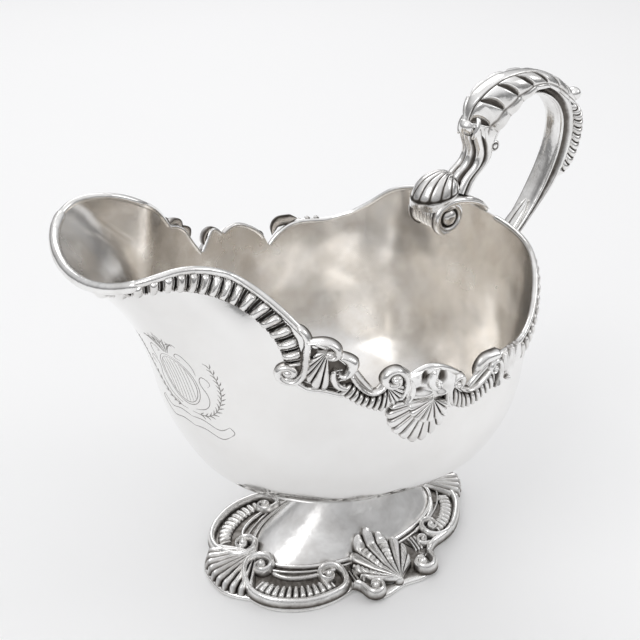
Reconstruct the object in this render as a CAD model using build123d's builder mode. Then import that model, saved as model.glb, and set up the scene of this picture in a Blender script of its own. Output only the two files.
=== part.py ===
"""Silver sauce boat on an oval ornamented foot, with a leaf-capped scroll handle.

+X runs from the lip to the handle, +Z is up, and the left side (-Y) mirrors the right.
The origin is the middle of the foot, on the surface it stands on. Millimetres.
"""

import os
from math import cos, pi, sin

from build123d import *

os.makedirs("parts", exist_ok=True)

# ---------------------------------------------------------------- driving dimensions
BOWL_WALL = 0.7           # raised silver sheet, measured level
BOWL_FLOOR = 0.8          # extra height of the floor over the underside
BORDER_RELIEF = 2.2       # cast border standing proud of the bowl
ABOVE_ALL = 170.0         # higher than any rim
SIDE_REACH = 90.0         # wider than any half

# Level outlines of the bowl: height, reach to the lip, reach to the handle, half width,
# and how far the plan narrows into the pouring lip (0 oval, 1 full lip)
BOWL_LEVELS = [
    (35.0, -14.0, 12.0, 9.0, 0.0),
    (37.0, -27.0, 22.0, 20.0, 0.0),
    (42.0, -42.0, 34.0, 33.0, 0.0),
    (50.0, -53.0, 44.5, 45.0, 0.0),
    (60.0, -60.0, 51.0, 52.5, 0.0),
    (74.0, -66.0, 54.5, 58.0, 0.0),
    (92.0, -70.0, 56.0, 60.0, 0.0),
    (110.0, -76.0, 57.0, 61.0, 0.35),
    (126.0, -86.0, 57.0, 61.0, 0.75),
    (138.0, -97.0, 58.0, 61.0, 1.0),
    (150.0, -108.0, 59.0, 61.0, 1.0),
]
BOWL_MIDDLE = 2.0         # x of the widest section
BACK_FULLNESS = 2.3       # exponent of the rounded back
LIP_HALF_WIDTH = 31.0
LIP_ROUND = 24.0          # length over which the lip's tip rounds off
NECK_REACH = -62.0        # where the oval body closes under the lip
BLEND = 6.0               # sharpness of the corner between lip and body
RING_POINTS = 32

# Rim seen from the side, as (x, z), each run between two cusps of the scrolls
LIP_TIP = (-115.0, 125.5)
RIM_ARCH = [(-99, 134), (-94.6, 137.3), (-86.3, 142.1), (-79, 144), (-71.3, 143.5),
            (-62.6, 140.4), (-52.9, 133.2), (-43.2, 120.4)]
RIM_CORNER = [(-43.2, 120.4), (-36, 115.6), (-32.7, 110.5), (-27.6, 102.6)]
RIM_CURL = [(-27.6, 102.6), (-24.3, 107.1), (-21.9, 109.9), (-17.1, 106.7)]
RIM_CREST = [(-17.1, 106.7), (-12, 108.5), (-5.5, 106.5), (0.9, 101.1), (3.3, 96.2)]
RIM_REAR = [(3.3, 96.2), (8, 100.5), (17.7, 103.8), (26.8, 103.5), (36, 106.3)]
RIM_BACK = [(36, 106.3), (41.6, 110.9), (46.5, 116.6), (51.5, 120), (56, 121)]
BACK_RIM = 121.0          # height of the rim under the handle
RIM_END = (68, BACK_RIM)

# Cast border of each side, seen from the side: lower edges between upright joins
LIP_RIM_LOWER = [(-118, 119), (-100, 129), (-94, 132.6), (-88, 136)]
ARCH_LOWER = [(-88, 136), (-79, 138.9), (-70.8, 136.5), (-62.4, 132.4), (-55.9, 127.2),
              (-51.3, 120), (-50.2, 113), (-51, 109), (-48.5, 106.5), (-45.8, 107.5)]
CORNER_LOWER = [(-45.8, 107.5), (-41, 104.2), (-38, 105), (-33, 104)]
FRONT_FESTOON_LOWER = [(-33, 104), (-31.5, 101.5), (-27, 96.2), (-24.5, 94.8)]
CURL_LOWER = [(-24.5, 98), (-17.3, 98)]
CREST_LOWER = [(-17.3, 98), (-1.5, 98)]
SHELL_LOWER = [(-24.5, 94.8), (-21, 88.5), (-16.5, 81.5), (-11, 78.3), (-6, 80.5), (-1.5, 89.5)]
SHELL_TOP = 98.0
REAR_FESTOON_LOWER = [(-1.5, 89.5), (3.8, 87.6), (10, 88.4), (17.7, 91.5)]
REAR_LEAF_LOWER = [(17.7, 91.5), (22, 91.5), (28, 96.5)]
REAR_BAND_LOWER = [(28, 96.5), (36, 100), (42, 104.5), (46.5, 110), (50, 113.5), (62, 115.4)]

# Handle, all in the middle plane, as (x, z)
CLASP_ROLL = (36.7, 123.5)
CLASP_ROLL_RADIUS = 6.6
CLASP_HALF_WIDTH = 8.0
CLASP_STRAP_TOP = [(36.7, 130.1), (45, 131), (52, 127.5), (59, 122.5)]
BUTTON_RADIUS = 3.2
BUTTON_HEIGHT = 1.2
THUMB_SHELL_X = 37.0
THUMB_SHELL_LEVELS = [(130.1, 8.7, 7.6), (134.3, 7.7, 6.7), (137, 5.2, 4.5), (138.4, 2.2, 1.9)]
NECK_FRONT = [(44.5, 130.5), (48, 135), (50.8, 139.5), (51.5, 145), (50.5, 149.5), (48.5, 152.3)]
NECK_BACK = [(53, 153), (55.2, 147), (54.8, 142), (52.5, 137.5), (49.5, 133), (47, 130)]
NECK_HALF_WIDTH = 5.0
BEAD_CENTRE = (47.6, 154.6)
BEAD_RADIUS = 3.2
ARM_OUTER = [(50.5, 151.5), (53, 159.5), (58, 163.7), (64, 165.8), (70, 166.2), (78, 165),
             (86, 161.5), (92.5, 156.5), (96, 150), (96.8, 144), (95.8, 137), (93, 130),
             (88, 122.5), (80, 113.5), (70, 103), (62, 97), (54, 91)]
ARM_INNER = [(54, 97), (62, 101.5), (70, 108), (76.3, 115.5), (82, 125), (86, 134),
             (88.1, 143), (87.7, 150), (84.5, 155.8), (79.5, 159.4), (73, 160.8), (67, 159),
             (62, 154.5), (58.8, 149.5), (57.8, 146.5)]
ARM_HALF_WIDTH = 4.3
CURL_CENTRE = (57.4, 145.4)
CURL_RADIUS = 2.0
LEAF_CREST = [(47, 154.5), (49, 161), (54, 165.3), (60, 167.8), (67, 168.7), (74, 168.3),
              (82, 166), (89, 162), (96.5, 155.5)]
LEAF_EDGE = [(95, 153.5), (89, 158), (82, 162), (74, 163.5), (67, 161.5), (61, 156), (57, 149)]
LEAF_PLAN = [(46, 3.5), (50, 7.4), (56, 8.2), (66, 7.2), (78, 5.6), (90, 3.8), (98, 1.6)]
KNOB_CENTRE = (97.2, 156.6)
KNOB_RADIUS = 2.2
CORD_CREST = [(94.5, 153.5), (98.3, 149), (99.2, 144), (98.3, 137), (95.5, 130), (90.5, 124)]
CORD_HALF_WIDTH = 2.6
TAIL_LEAF_CREST = [(64, 103), (69, 109.5), (74, 115.5), (79, 120)]
TAIL_LEAF_HALF_WIDTH = 3.2

# Foot: plan of its left edge from the front end to the rear end, run by run
FOOT_RUNS = [
    [(-57.5, 0), (-56.8, -6.5), (-54, -11.5), (-50, -15.5)],
    [(-50, -15.5), (-47, -22), (-41, -27.5), (-34, -31), (-25, -32.2), (-16, -31)],
    [(-16, -31), (-12.8, -35), (-10, -39.3), (0, -38.8), (10, -39.5), (14.2, -36), (16, -30.5)],
    [(16, -30.5), (24, -28.2), (32, -26), (40, -20), (45.5, -13)],
    [(45.5, -13), (50.5, -8.5), (54.3, -3.5), (55, 0)],
]
FOOT_WIRE_TOP = 2.0
FOOT_WIRE_INSIDE = 0.95   # inside of the wire as a share of its outline
CASTING_ROOF = 1.3        # thickness of the hollow castings over the wire
FOOT_ORNAMENT_TOP = 5.0
SIDE_SHELL_TOP = 8.0
END_SHELL_HALF_WIDTH = 15.0
END_SHELL_START = 35.0
SIDE_SHELL_HALF_WIDTH = 14.0
SIDE_SHELL_START = 10.0
PLAN_REACH = 60.0         # past the foot's edge every way
DOME_WALL = 1.1
DOME_LEVELS = [(2, 39.5, 22), (5, 37, 20), (10, 30, 17), (17, 20.5, 13.5), (24, 13.5, 10.7)]
MOULDING_WIDTH = 1.8
MOULDING_TOP = 4.5
COLLAR_LEVELS = [(24, 13.5, 10.7), (28, 13, 10.2), (32, 15, 11.8), (36.5, 19, 15)]
COLLAR_BORE = (11.2, 8.6)


# ---------------------------------------------------------------- bowl and its border
def bowl_ring(front, back, half_width, lip_share, grow):
    """Points of one level outline, from the lip's tip round to the tip again."""
    front, back, half_width = front - grow, back + grow, half_width + grow
    points = []
    for step in range(RING_POINTS):
        turn = 2 * pi * step / RING_POINTS
        side = 1 if turn <= pi else -1
        angle = turn if turn <= pi else 2 * pi - turn
        if angle < pi / 2:
            x = BOWL_MIDDLE - (BOWL_MIDDLE - front) * cos(angle)
            oval = half_width * sin(angle)
            along_lip = min(1.0, (x - front) / LIP_ROUND)
            lip = (LIP_HALF_WIDTH + grow) * (1 - (1 - along_lip) ** 2) ** 0.5
            along_body = min(1.0, (BOWL_MIDDLE - x) / (BOWL_MIDDLE - NECK_REACH))
            body = half_width * (1 - along_body**2) ** 0.5
            narrowed = min(half_width, (lip**BLEND + body**BLEND) ** (1 / BLEND))
            y = (1 - lip_share) * oval + lip_share * narrowed
        else:
            x = BOWL_MIDDLE - (back - BOWL_MIDDLE) * cos(angle)
            y = half_width * max(0.0, 1 - abs(cos(angle)) ** BACK_FULLNESS) ** (1 / BACK_FULLNESS)
        points.append((x, side * y))
    return points


def bowl_solid(grow, lift=0.0):
    """Closed solid of the bowl's shape, grown level by level and lifted."""
    spacing = [step / RING_POINTS for step in range(RING_POINTS + 1)]
    with BuildPart() as solid:
        for height, front, back, half_width, lip_share in BOWL_LEVELS:
            ring = bowl_ring(front, back, half_width, lip_share, grow)
            with BuildSketch(Plane.XY.offset(height + lift)):
                with BuildLine():
                    add(Edge.make_spline(ring, periodic=True, parameters=spacing))
                make_face()
        loft()
    return solid.part


def above_rim():
    """Everything over the scalloped rim, cut straight through from side to side."""
    with BuildPart() as waste:
        with BuildSketch(Plane.XZ):
            with BuildLine():
                Line(LIP_TIP, RIM_ARCH[0])
                for run in (RIM_ARCH, RIM_CORNER, RIM_CURL, RIM_CREST, RIM_REAR, RIM_BACK):
                    Spline(*run)
                Polyline(RIM_BACK[-1], RIM_END, (RIM_END[0], ABOVE_ALL), (LIP_TIP[0], ABOVE_ALL), LIP_TIP)
            make_face()
        extrude(amount=SIDE_REACH, both=True)
    return waste.part



def save(part, label):
    """Name a finished piece and write its STEP file."""
    part.label = label
    export_step(part, f"parts/{label}.step")


WASTE = above_rim()
OUTER = bowl_solid(0.0)
BORDER = bowl_solid(BORDER_RELIEF) - OUTER - WASTE


def border_piece(lower, top=ABOVE_ALL, centred=False):
    """One casting of the border: the relief layer between two upright joins, over lower."""
    start, end = lower[0], lower[-1]
    with BuildPart() as piece:
        add(BORDER)
        with BuildSketch(Plane.XZ):
            with BuildLine():
                Spline(*lower)
                Polyline(end, (end[0], top), (start[0], top), start)
            make_face()
        extrude(amount=SIDE_REACH, both=centred, mode=Mode.INTERSECT)
    return piece.part


def both_sides(piece, label):
    """Write a left-hand piece and its mirror image on the right."""
    save(piece, f"{label}_left")
    save(mirror(piece, about=Plane.XZ), f"{label}_right")


with BuildPart() as bowl:
    add(OUTER)
    add(bowl_solid(-BOWL_WALL, BOWL_FLOOR), mode=Mode.SUBTRACT)
    add(WASTE, mode=Mode.SUBTRACT)
save(bowl.part, "bowl")

save(border_piece(LIP_RIM_LOWER, centred=True), "lip_rim")
for label, lower in (
    ("arch_gadroons", ARCH_LOWER),
    ("corner_shell", CORNER_LOWER),
    ("front_festoon", FRONT_FESTOON_LOWER),
    ("scroll_curl", CURL_LOWER),
    ("crest_leaf", CREST_LOWER),
    ("rear_festoon", REAR_FESTOON_LOWER),
    ("rear_leaf", REAR_LEAF_LOWER),
    ("rear_gadroons", REAR_BAND_LOWER),
):
    both_sides(border_piece(lower), label)
both_sides(border_piece(SHELL_LOWER, top=SHELL_TOP), "side_shell")


# ---------------------------------------------------------------- handle
def side_outline(half_width, *runs):
    """Solid of an outline in the middle plane, run after run, closed by straight lines."""
    with BuildPart() as piece:
        with BuildSketch(Plane.XZ):
            with BuildLine():
                for run, following in zip(runs, runs[1:] + runs[:1]):
                    if len(run) > 2:
                        Spline(*run)
                    else:
                        Line(*run)
                    if run[-1] != following[0]:
                        Line(run[-1], following[0])
            make_face()
        extrude(amount=half_width, both=True)
    return piece.part


def at(spot, y=0.0):
    """Location of a spot in the middle plane, moved sideways."""
    return Location((spot[0], y, spot[1]))


with BuildPart() as handle_clasp:
    strap_end = CLASP_STRAP_TOP[-1]
    strap_foot = [(strap_end[0], BACK_RIM), (CLASP_ROLL[0] + CLASP_ROLL_RADIUS, BACK_RIM)]
    add(side_outline(CLASP_HALF_WIDTH, CLASP_STRAP_TOP, strap_foot, [strap_foot[1], CLASP_ROLL]))
    with BuildSketch(Plane.XZ):
        with Locations(CLASP_ROLL):
            Circle(CLASP_ROLL_RADIUS)
    extrude(amount=CLASP_HALF_WIDTH, both=True)
    add(bowl.part, mode=Mode.SUBTRACT)
save(handle_clasp.part, "handle_clasp")

with BuildPart() as clasp_buttons:
    for side in (-1, 1):
        with BuildSketch(Plane.XZ.offset(-side * CLASP_HALF_WIDTH)):
            with Locations(CLASP_ROLL):
                Circle(BUTTON_RADIUS)
        extrude(amount=-side * BUTTON_HEIGHT)
save(clasp_buttons.part, "clasp_buttons")

with BuildPart() as thumb_shell:
    for height, length, width in THUMB_SHELL_LEVELS:
        with BuildSketch(Plane.XY.offset(height)):
            with Locations((THUMB_SHELL_X, 0)):
                Ellipse(length, width)
    loft()
    add(handle_clasp.part, mode=Mode.SUBTRACT)
save(thumb_shell.part, "thumb_shell")

with BuildPart() as handle_arm:
    add(side_outline(ARM_HALF_WIDTH, ARM_OUTER, ARM_INNER))
    add(OUTER, mode=Mode.SUBTRACT)
save(handle_arm.part, "handle_arm")

with BuildPart() as handle_neck:
    add(side_outline(NECK_HALF_WIDTH, NECK_FRONT, NECK_BACK))
    for neighbour in (handle_clasp, thumb_shell, handle_arm):
        add(neighbour.part, mode=Mode.SUBTRACT)
save(handle_neck.part, "handle_neck")

with BuildPart() as handle_leaf:
    add(side_outline(LEAF_PLAN[1][1] + 1, LEAF_CREST, LEAF_EDGE))
    with BuildSketch(Plane.XY):
        with BuildLine():
            Spline(*LEAF_PLAN)
            Line(LEAF_PLAN[-1], (LEAF_PLAN[-1][0], 0))
            Line((LEAF_PLAN[-1][0], 0), (LEAF_PLAN[0][0], 0))
            Line((LEAF_PLAN[0][0], 0), LEAF_PLAN[0])
        make_face()
        mirror(about=Plane.XZ)
    extrude(amount=ABOVE_ALL, mode=Mode.INTERSECT)
    for neighbour in (handle_arm, handle_neck):
        add(neighbour.part, mode=Mode.SUBTRACT)
save(handle_leaf.part, "handle_leaf")

with BuildPart() as handle_bead:
    with Locations(at(BEAD_CENTRE)):
        Sphere(BEAD_RADIUS)
    for neighbour in (handle_neck, handle_arm, handle_leaf):
        add(neighbour.part, mode=Mode.SUBTRACT)
save(handle_bead.part, "handle_bead")

with BuildPart() as handle_curl:
    with BuildSketch(Plane.XZ):
        with Locations(CURL_CENTRE):
            Circle(CURL_RADIUS)
    extrude(amount=NECK_HALF_WIDTH, both=True)
    for neighbour in (handle_arm, handle_neck, handle_leaf):
        add(neighbour.part, mode=Mode.SUBTRACT)
save(handle_curl.part, "handle_curl")

with BuildPart() as handle_cord:
    add(side_outline(CORD_HALF_WIDTH, CORD_CREST, [CORD_CREST[-1], CORD_CREST[0]]))
    for neighbour in (handle_arm, handle_leaf):
        add(neighbour.part, mode=Mode.SUBTRACT)
save(handle_cord.part, "handle_cord")

with BuildPart() as handle_knob:
    with Locations(at(KNOB_CENTRE)):
        Sphere(KNOB_RADIUS)
    for neighbour in (handle_arm, handle_leaf, handle_cord):
        add(neighbour.part, mode=Mode.SUBTRACT)
save(handle_knob.part, "handle_knob")

with BuildPart() as tail_leaf:
    add(side_outline(TAIL_LEAF_HALF_WIDTH, TAIL_LEAF_CREST, [TAIL_LEAF_CREST[-1], TAIL_LEAF_CREST[0]]))
    add(handle_arm.part, mode=Mode.SUBTRACT)
save(tail_leaf.part, "tail_leaf")


# ---------------------------------------------------------------- foot
def oval_solid(levels, grow=0.0, drop=0.0):
    """Upright solid through ovals given as height, half length and half width."""
    with BuildPart() as solid:
        for height, length, width in levels:
            with BuildSketch(Plane.XY.offset(height - drop)):
                Ellipse(length + grow, width + grow)
        loft()
    return solid.part


def foot_slab(bottom, top, share=1.0):
    """The foot's ornamented outline as an upright slab, or a share of its size."""
    with BuildPart() as slab:
        with BuildSketch(Plane.XY.offset(bottom)):
            with BuildLine():
                for run in FOOT_RUNS:
                    Spline(*[(x * share, y * share) for x, y in run])
                Line((FOOT_RUNS[-1][-1][0] * share, 0), (FOOT_RUNS[0][0][0] * share, 0))
            make_face()
            mirror(about=Plane.XZ)
        extrude(amount=top - bottom)
    return slab.part


DOME_SOLID = oval_solid(DOME_LEVELS)

with BuildPart() as foot_dome:
    add(DOME_SOLID)
    add(oval_solid(DOME_LEVELS, -DOME_WALL, DOME_WALL / 2), mode=Mode.SUBTRACT)
    with BuildSketch(Plane.XY.offset(DOME_LEVELS[-2][0])):
        Ellipse(*COLLAR_BORE)
    extrude(amount=ABOVE_ALL, mode=Mode.SUBTRACT)
save(foot_dome.part, "foot_dome")

with BuildPart() as foot_wire:
    add(foot_slab(0.0, FOOT_WIRE_TOP))
    add(foot_slab(0.0, FOOT_WIRE_TOP, FOOT_WIRE_INSIDE), mode=Mode.SUBTRACT)
save(foot_wire.part, "foot_wire")

with BuildPart() as foot_moulding:
    with BuildSketch(Plane.XY.offset(FOOT_WIRE_TOP)):
        Ellipse(DOME_LEVELS[0][1] + MOULDING_WIDTH, DOME_LEVELS[0][2] + MOULDING_WIDTH)
    extrude(amount=MOULDING_TOP - FOOT_WIRE_TOP)
    add(DOME_SOLID, mode=Mode.SUBTRACT)
save(foot_moulding.part, "foot_moulding")

with BuildPart() as foot_collar:
    add(oval_solid(COLLAR_LEVELS))
    with BuildSketch(Plane.XY.offset(COLLAR_LEVELS[0][0])):
        Ellipse(*COLLAR_BORE)
    extrude(amount=ABOVE_ALL, mode=Mode.SUBTRACT)
    add(OUTER, mode=Mode.SUBTRACT)
save(foot_collar.part, "foot_collar")


def foot_ornament(low, high, top=FOOT_ORNAMENT_TOP, neighbours=()):
    """Casting on the foot's edge inside a plan window from low to high, as (x, y)."""
    with BuildPart() as piece:
        add(foot_slab(FOOT_WIRE_TOP, top))
        add(foot_slab(FOOT_WIRE_TOP, top - CASTING_ROOF, FOOT_WIRE_INSIDE), mode=Mode.SUBTRACT)
        with BuildSketch():
            with Locations(((low[0] + high[0]) / 2, (low[1] + high[1]) / 2)):
                Rectangle(high[0] - low[0], high[1] - low[1])
        extrude(amount=ABOVE_ALL, mode=Mode.INTERSECT)
        for solid in (DOME_SOLID, foot_moulding.part, *neighbours):
            add(solid, mode=Mode.SUBTRACT)
    return piece.part


END_SHELLS = {
    "front": foot_ornament((-PLAN_REACH, -END_SHELL_HALF_WIDTH), (-END_SHELL_START, END_SHELL_HALF_WIDTH)),
    "rear": foot_ornament((END_SHELL_START, -END_SHELL_HALF_WIDTH), (PLAN_REACH, END_SHELL_HALF_WIDTH)),
}
for end, shell in END_SHELLS.items():
    save(shell, f"foot_end_shell_{end}")
    ahead, behind = (-PLAN_REACH, -SIDE_SHELL_HALF_WIDTH), (SIDE_SHELL_HALF_WIDTH, PLAN_REACH)
    reach = ahead if end == "front" else behind
    scroll = foot_ornament((reach[0], -PLAN_REACH), (reach[1], -SIDE_SHELL_START), neighbours=[shell])
    both_sides(scroll, f"foot_scroll_{end}")
side_shell = foot_ornament((-SIDE_SHELL_HALF_WIDTH, -PLAN_REACH),
                           (SIDE_SHELL_HALF_WIDTH, -SIDE_SHELL_START), SIDE_SHELL_TOP)
both_sides(side_shell, "foot_side_shell")
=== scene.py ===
"""Looks of the silver sauce boat: raised bowl, cast border, ornamented foot and scroll handle.

Design sizes are millimetres in the frame of the model: +X from lip to handle, +Z up, the
middle of the foot at the origin. Meshes are written in metres.
"""

import math

import bmesh
import bpy
import numpy as np
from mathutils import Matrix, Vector


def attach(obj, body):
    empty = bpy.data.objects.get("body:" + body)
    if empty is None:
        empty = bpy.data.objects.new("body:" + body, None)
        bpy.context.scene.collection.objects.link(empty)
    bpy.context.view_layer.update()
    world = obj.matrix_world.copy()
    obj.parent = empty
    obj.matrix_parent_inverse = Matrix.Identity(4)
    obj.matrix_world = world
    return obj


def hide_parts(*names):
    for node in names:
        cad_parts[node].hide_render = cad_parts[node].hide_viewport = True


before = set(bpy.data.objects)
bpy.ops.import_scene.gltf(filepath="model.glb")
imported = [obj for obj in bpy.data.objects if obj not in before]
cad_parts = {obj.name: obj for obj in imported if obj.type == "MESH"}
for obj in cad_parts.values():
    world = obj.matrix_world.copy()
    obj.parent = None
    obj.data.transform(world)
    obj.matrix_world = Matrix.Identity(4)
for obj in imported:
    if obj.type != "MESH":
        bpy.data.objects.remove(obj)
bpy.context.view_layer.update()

MM = 0.001
PI = math.pi
SUNK = -0.4               # undersides of castings, inside the wall that carries them
UNDER_ROWS = 2            # rows of faces across a casting's underside
GROUND_HEIGHT = 0.3       # height of the sunk ground between ornaments
WELD = 2e-6               # metres within which seams and poles are one point
SHARP_ANGLE = math.radians(55)

# ---------------------------------------------------------------- design sizes
BOWL_WALL = 0.7
# Level outlines of the bowl: height, reach to the lip, reach to the handle, half width, lip share
BOWL_LEVELS = [
    (35.0, -14.0, 12.0, 9.0, 0.0), (37.0, -27.0, 22.0, 20.0, 0.0),
    (42.0, -42.0, 34.0, 33.0, 0.0), (50.0, -53.0, 44.5, 45.0, 0.0),
    (60.0, -60.0, 51.0, 52.5, 0.0), (74.0, -66.0, 54.5, 58.0, 0.0),
    (92.0, -70.0, 56.0, 60.0, 0.0), (110.0, -76.0, 57.0, 61.0, 0.35),
    (126.0, -86.0, 57.0, 61.0, 0.75), (138.0, -97.0, 58.0, 61.0, 1.0),
    (150.0, -108.0, 59.0, 61.0, 1.0),
]
BOWL_MIDDLE = 2.0
BACK_FULLNESS = 2.3
LIP_HALF_WIDTH = 31.0
LIP_ROUND = 24.0
NECK_REACH = -62.0
BLEND = 6.0
FLOOR_Z = 34.9
CARTOUCHE_Y, CARTOUCHE_Z = -14.0, 99.0
CUT_HEIGHT = 0.05         # the cut lines are drawn as very low reliefs
LOWEST_RIM, HIGHEST_RIM = 88.0, 149.0
HALVINGS = 40

# Rim seen from the side, run by run between the cusps of the scrolls, lip to handle
RIM_RUNS = [
    [(-115, 125.5), (-99, 134)],
    [(-99, 134), (-94.6, 137.3), (-86.3, 142.1), (-79, 144), (-71.3, 143.5),
     (-62.6, 140.4), (-52.9, 133.2), (-43.2, 120.4)],
    [(-43.2, 120.4), (-36, 115.6), (-32.7, 110.5), (-27.6, 102.6)],
    [(-27.6, 102.6), (-24.3, 107.1), (-21.9, 109.9), (-17.1, 106.7)],
    [(-17.1, 106.7), (-12, 108.5), (-5.5, 106.5), (0.9, 101.1), (3.3, 96.2)],
    [(3.3, 96.2), (8, 100.5), (17.7, 103.8), (26.8, 103.5), (36, 106.3)],
    [(36, 106.3), (41.6, 110.9), (46.5, 116.6), (51.5, 120), (56, 121)],
    [(56, 121), (68, 121)],
]


class Spline:
    """A smooth curve through a few points, read by its share of the way or by its knots."""

    def __init__(self, points, knots=None):
        self.points = np.array(points, float)
        if knots is None:
            knots = run_along(self.points)
        self.knots = np.array(knots, float)
        self.length = self.knots[-1]
        gaps = np.diff(self.knots)
        matrix = np.eye(len(self.knots))
        pull = np.zeros_like(self.points)
        for i in range(1, len(self.knots) - 1):
            matrix[i, i - 1:i + 2] = gaps[i - 1], 2 * (gaps[i - 1] + gaps[i]), gaps[i]
            after = (self.points[i + 1] - self.points[i]) / gaps[i]
            before = (self.points[i] - self.points[i - 1]) / gaps[i - 1]
            pull[i] = 6 * (after - before)
        self.bends = np.linalg.solve(matrix, pull)

    def value(self, knot):
        knot = np.clip(np.asarray(knot, float), self.knots[0], self.knots[-1])
        i = np.clip(np.searchsorted(self.knots, knot, side="right") - 1, 0, len(self.knots) - 2)
        gap = self.knots[i + 1] - self.knots[i]
        after = ((knot - self.knots[i]) / gap)[..., None]
        before = 1 - after
        gap = gap[..., None]
        line = before * self.points[i] + after * self.points[i + 1]
        curve = (before ** 3 - before) * self.bends[i] + (after ** 3 - after) * self.bends[i + 1]
        return line + curve * gap ** 2 / 6

    def at(self, share):
        return self.value(np.asarray(share, float) * self.length)


def smooth_step(value, low, high):
    share = np.clip((value - low) / (high - low), 0, 1)
    return share * share * (3 - 2 * share)


def ramp(share, stops):
    """Value at a share of the way through (share, value) stops, or the number itself."""
    if np.isscalar(stops):
        return stops
    places, values = zip(*stops)
    return np.interp(share, places, values)


def as_spline(points):
    return points if isinstance(points, Spline) else Spline(points)


def round_end(value, power=2):
    """Quarter-round fall from 1 at value 0 to 0 at value 1, squarer with a higher power."""
    return np.sqrt(np.clip(1 - value ** power, 0, 1))


def line_of(value, width):
    """A narrow bell: 1 where the value is 0, gone a few widths away."""
    return np.exp(-(value / width) ** 2)


def unit(vectors):
    """Vectors of length one; those of no length stay so."""
    return vectors / np.maximum(np.linalg.norm(vectors, axis=-1, keepdims=True), 1e-9)


def run_along(points):
    """Distance walked along a line at each of its points."""
    steps = np.linalg.norm(np.diff(points, axis=0), axis=1)
    return np.concatenate(([0.0], np.cumsum(steps)))


# ---------------------------------------------------------------- the bowl's surface
LEVELS = Spline([row[1:] for row in BOWL_LEVELS], [row[0] for row in BOWL_LEVELS])
RIM_LINE = np.concatenate([Spline(run).at(np.linspace(0, 1, 60)) for run in RIM_RUNS])


def half_width(x, z):
    """Half width of the bowl at a place along it and a height."""
    front, back, width, lip_share = np.moveaxis(LEVELS.value(z), -1, 0)
    lip_share = np.clip(lip_share, 0, 1)
    ahead = np.clip((BOWL_MIDDLE - x) / (BOWL_MIDDLE - front), 0, 1)
    oval = width * np.sqrt(1 - ahead ** 2)
    along_lip = np.clip((x - front) / LIP_ROUND, 0, 1)
    lip = LIP_HALF_WIDTH * np.sqrt(1 - (1 - along_lip) ** 2)
    along_body = np.clip((BOWL_MIDDLE - x) / (BOWL_MIDDLE - NECK_REACH), 0, 1)
    body = width * np.sqrt(1 - along_body ** 2)
    narrowed = np.minimum(width, (lip ** BLEND + body ** BLEND) ** (1 / BLEND))
    fore = (1 - lip_share) * oval + lip_share * narrowed
    astern = np.clip((x - BOWL_MIDDLE) / (back - BOWL_MIDDLE), 0, 1)
    aft = width * (1 - astern ** BACK_FULLNESS) ** (1 / BACK_FULLNESS)
    return np.where(x < BOWL_MIDDLE, fore, aft)


def wall(angle, z):
    """Point of the bowl's outside: angle 0 at the lip's tip, pi at the handle, + on the right."""
    front, back = np.moveaxis(LEVELS.value(z), -1, 0)[:2]
    reach = np.where(np.cos(angle) > 0, BOWL_MIDDLE - front, back - BOWL_MIDDLE)
    x = BOWL_MIDDLE - reach * np.cos(angle)
    return np.stack([x, np.sign(np.sin(angle)) * half_width(x, z), z + 0 * x], axis=-1)


def find_rim(angle):
    """Height of the rim at an angle, by halving."""
    low = np.full_like(angle, LOWEST_RIM)
    high = np.full_like(angle, HIGHEST_RIM)
    for _ in range(HALVINGS):
        middle = (low + high) / 2
        above = middle > np.interp(wall(angle, middle)[..., 0], RIM_LINE[:, 0], RIM_LINE[:, 1])
        low, high = np.where(above, low, middle), np.where(above, middle, high)
    return (low + high) / 2


RIM_ANGLES = np.linspace(0, PI, 3000)
RIM_HEIGHTS = find_rim(RIM_ANGLES)


def rim_height(angle):
    return np.interp(np.abs(angle), RIM_ANGLES, RIM_HEIGHTS)


def angle_at(x):
    """Angle where the rim passes a place along the bowl."""
    rim_x = wall(RIM_ANGLES, RIM_HEIGHTS)[:, 0]
    return np.interp(x, rim_x, RIM_ANGLES)


def on_side(side):
    """Chart of one side of the bowl seen from the side: x, z and distance off the wall."""
    def place(x, z, out):
        step = 0.2
        along = (half_width(x + step, z) - half_width(x - step, z)) / (2 * step)
        up = (half_width(x, z + step) - half_width(x, z - step)) / (2 * step)
        length = np.sqrt(1 + along ** 2 + up ** 2)
        y = side * (half_width(x, z) + out / length)
        return np.stack([x - out * along / length, y, z - out * up / length], axis=-1)
    return place


def under_rim(angle, drop, out):
    """Chart of the band under the rim: angle round the bowl, distance below the rim, distance out."""
    step_angle, step_drop = 0.002, 0.1
    height = rim_height(angle) - drop
    here = wall(angle, height)
    around = wall(angle + step_angle, height) - wall(angle - step_angle, height)
    upward = wall(angle, height + step_drop) - wall(angle, height - step_drop)
    return here - unit(np.cross(around, upward)) * np.asarray(out)[..., None]


def round_rim(side):
    """Chart of the band under the rim of one side, with its angle counted from the lip."""
    return lambda angle, drop, out: under_rim(side * angle, drop, out)


# ---------------------------------------------------------------- making relief
def add_object(name, data):
    """Puts a mesh, light or camera into the scene, at the origin."""
    placed = bpy.data.objects.new(name, data)
    bpy.context.scene.collection.objects.link(placed)
    return placed


def finish_piece(mesh_builder, name, replaced, material):
    """Turns a finished bmesh into a piece of the object that stands for CAD nodes."""
    mesh = bpy.data.meshes.new(name)
    mesh_builder.to_mesh(mesh)
    mesh_builder.free()
    mesh.shade_smooth()
    mesh.set_sharp_from_angle(angle=SHARP_ANGLE)
    mesh.materials.append(material)
    piece = add_object(name, mesh)
    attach(piece, "root")
    if replaced:
        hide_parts(*replaced)
    return piece


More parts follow.
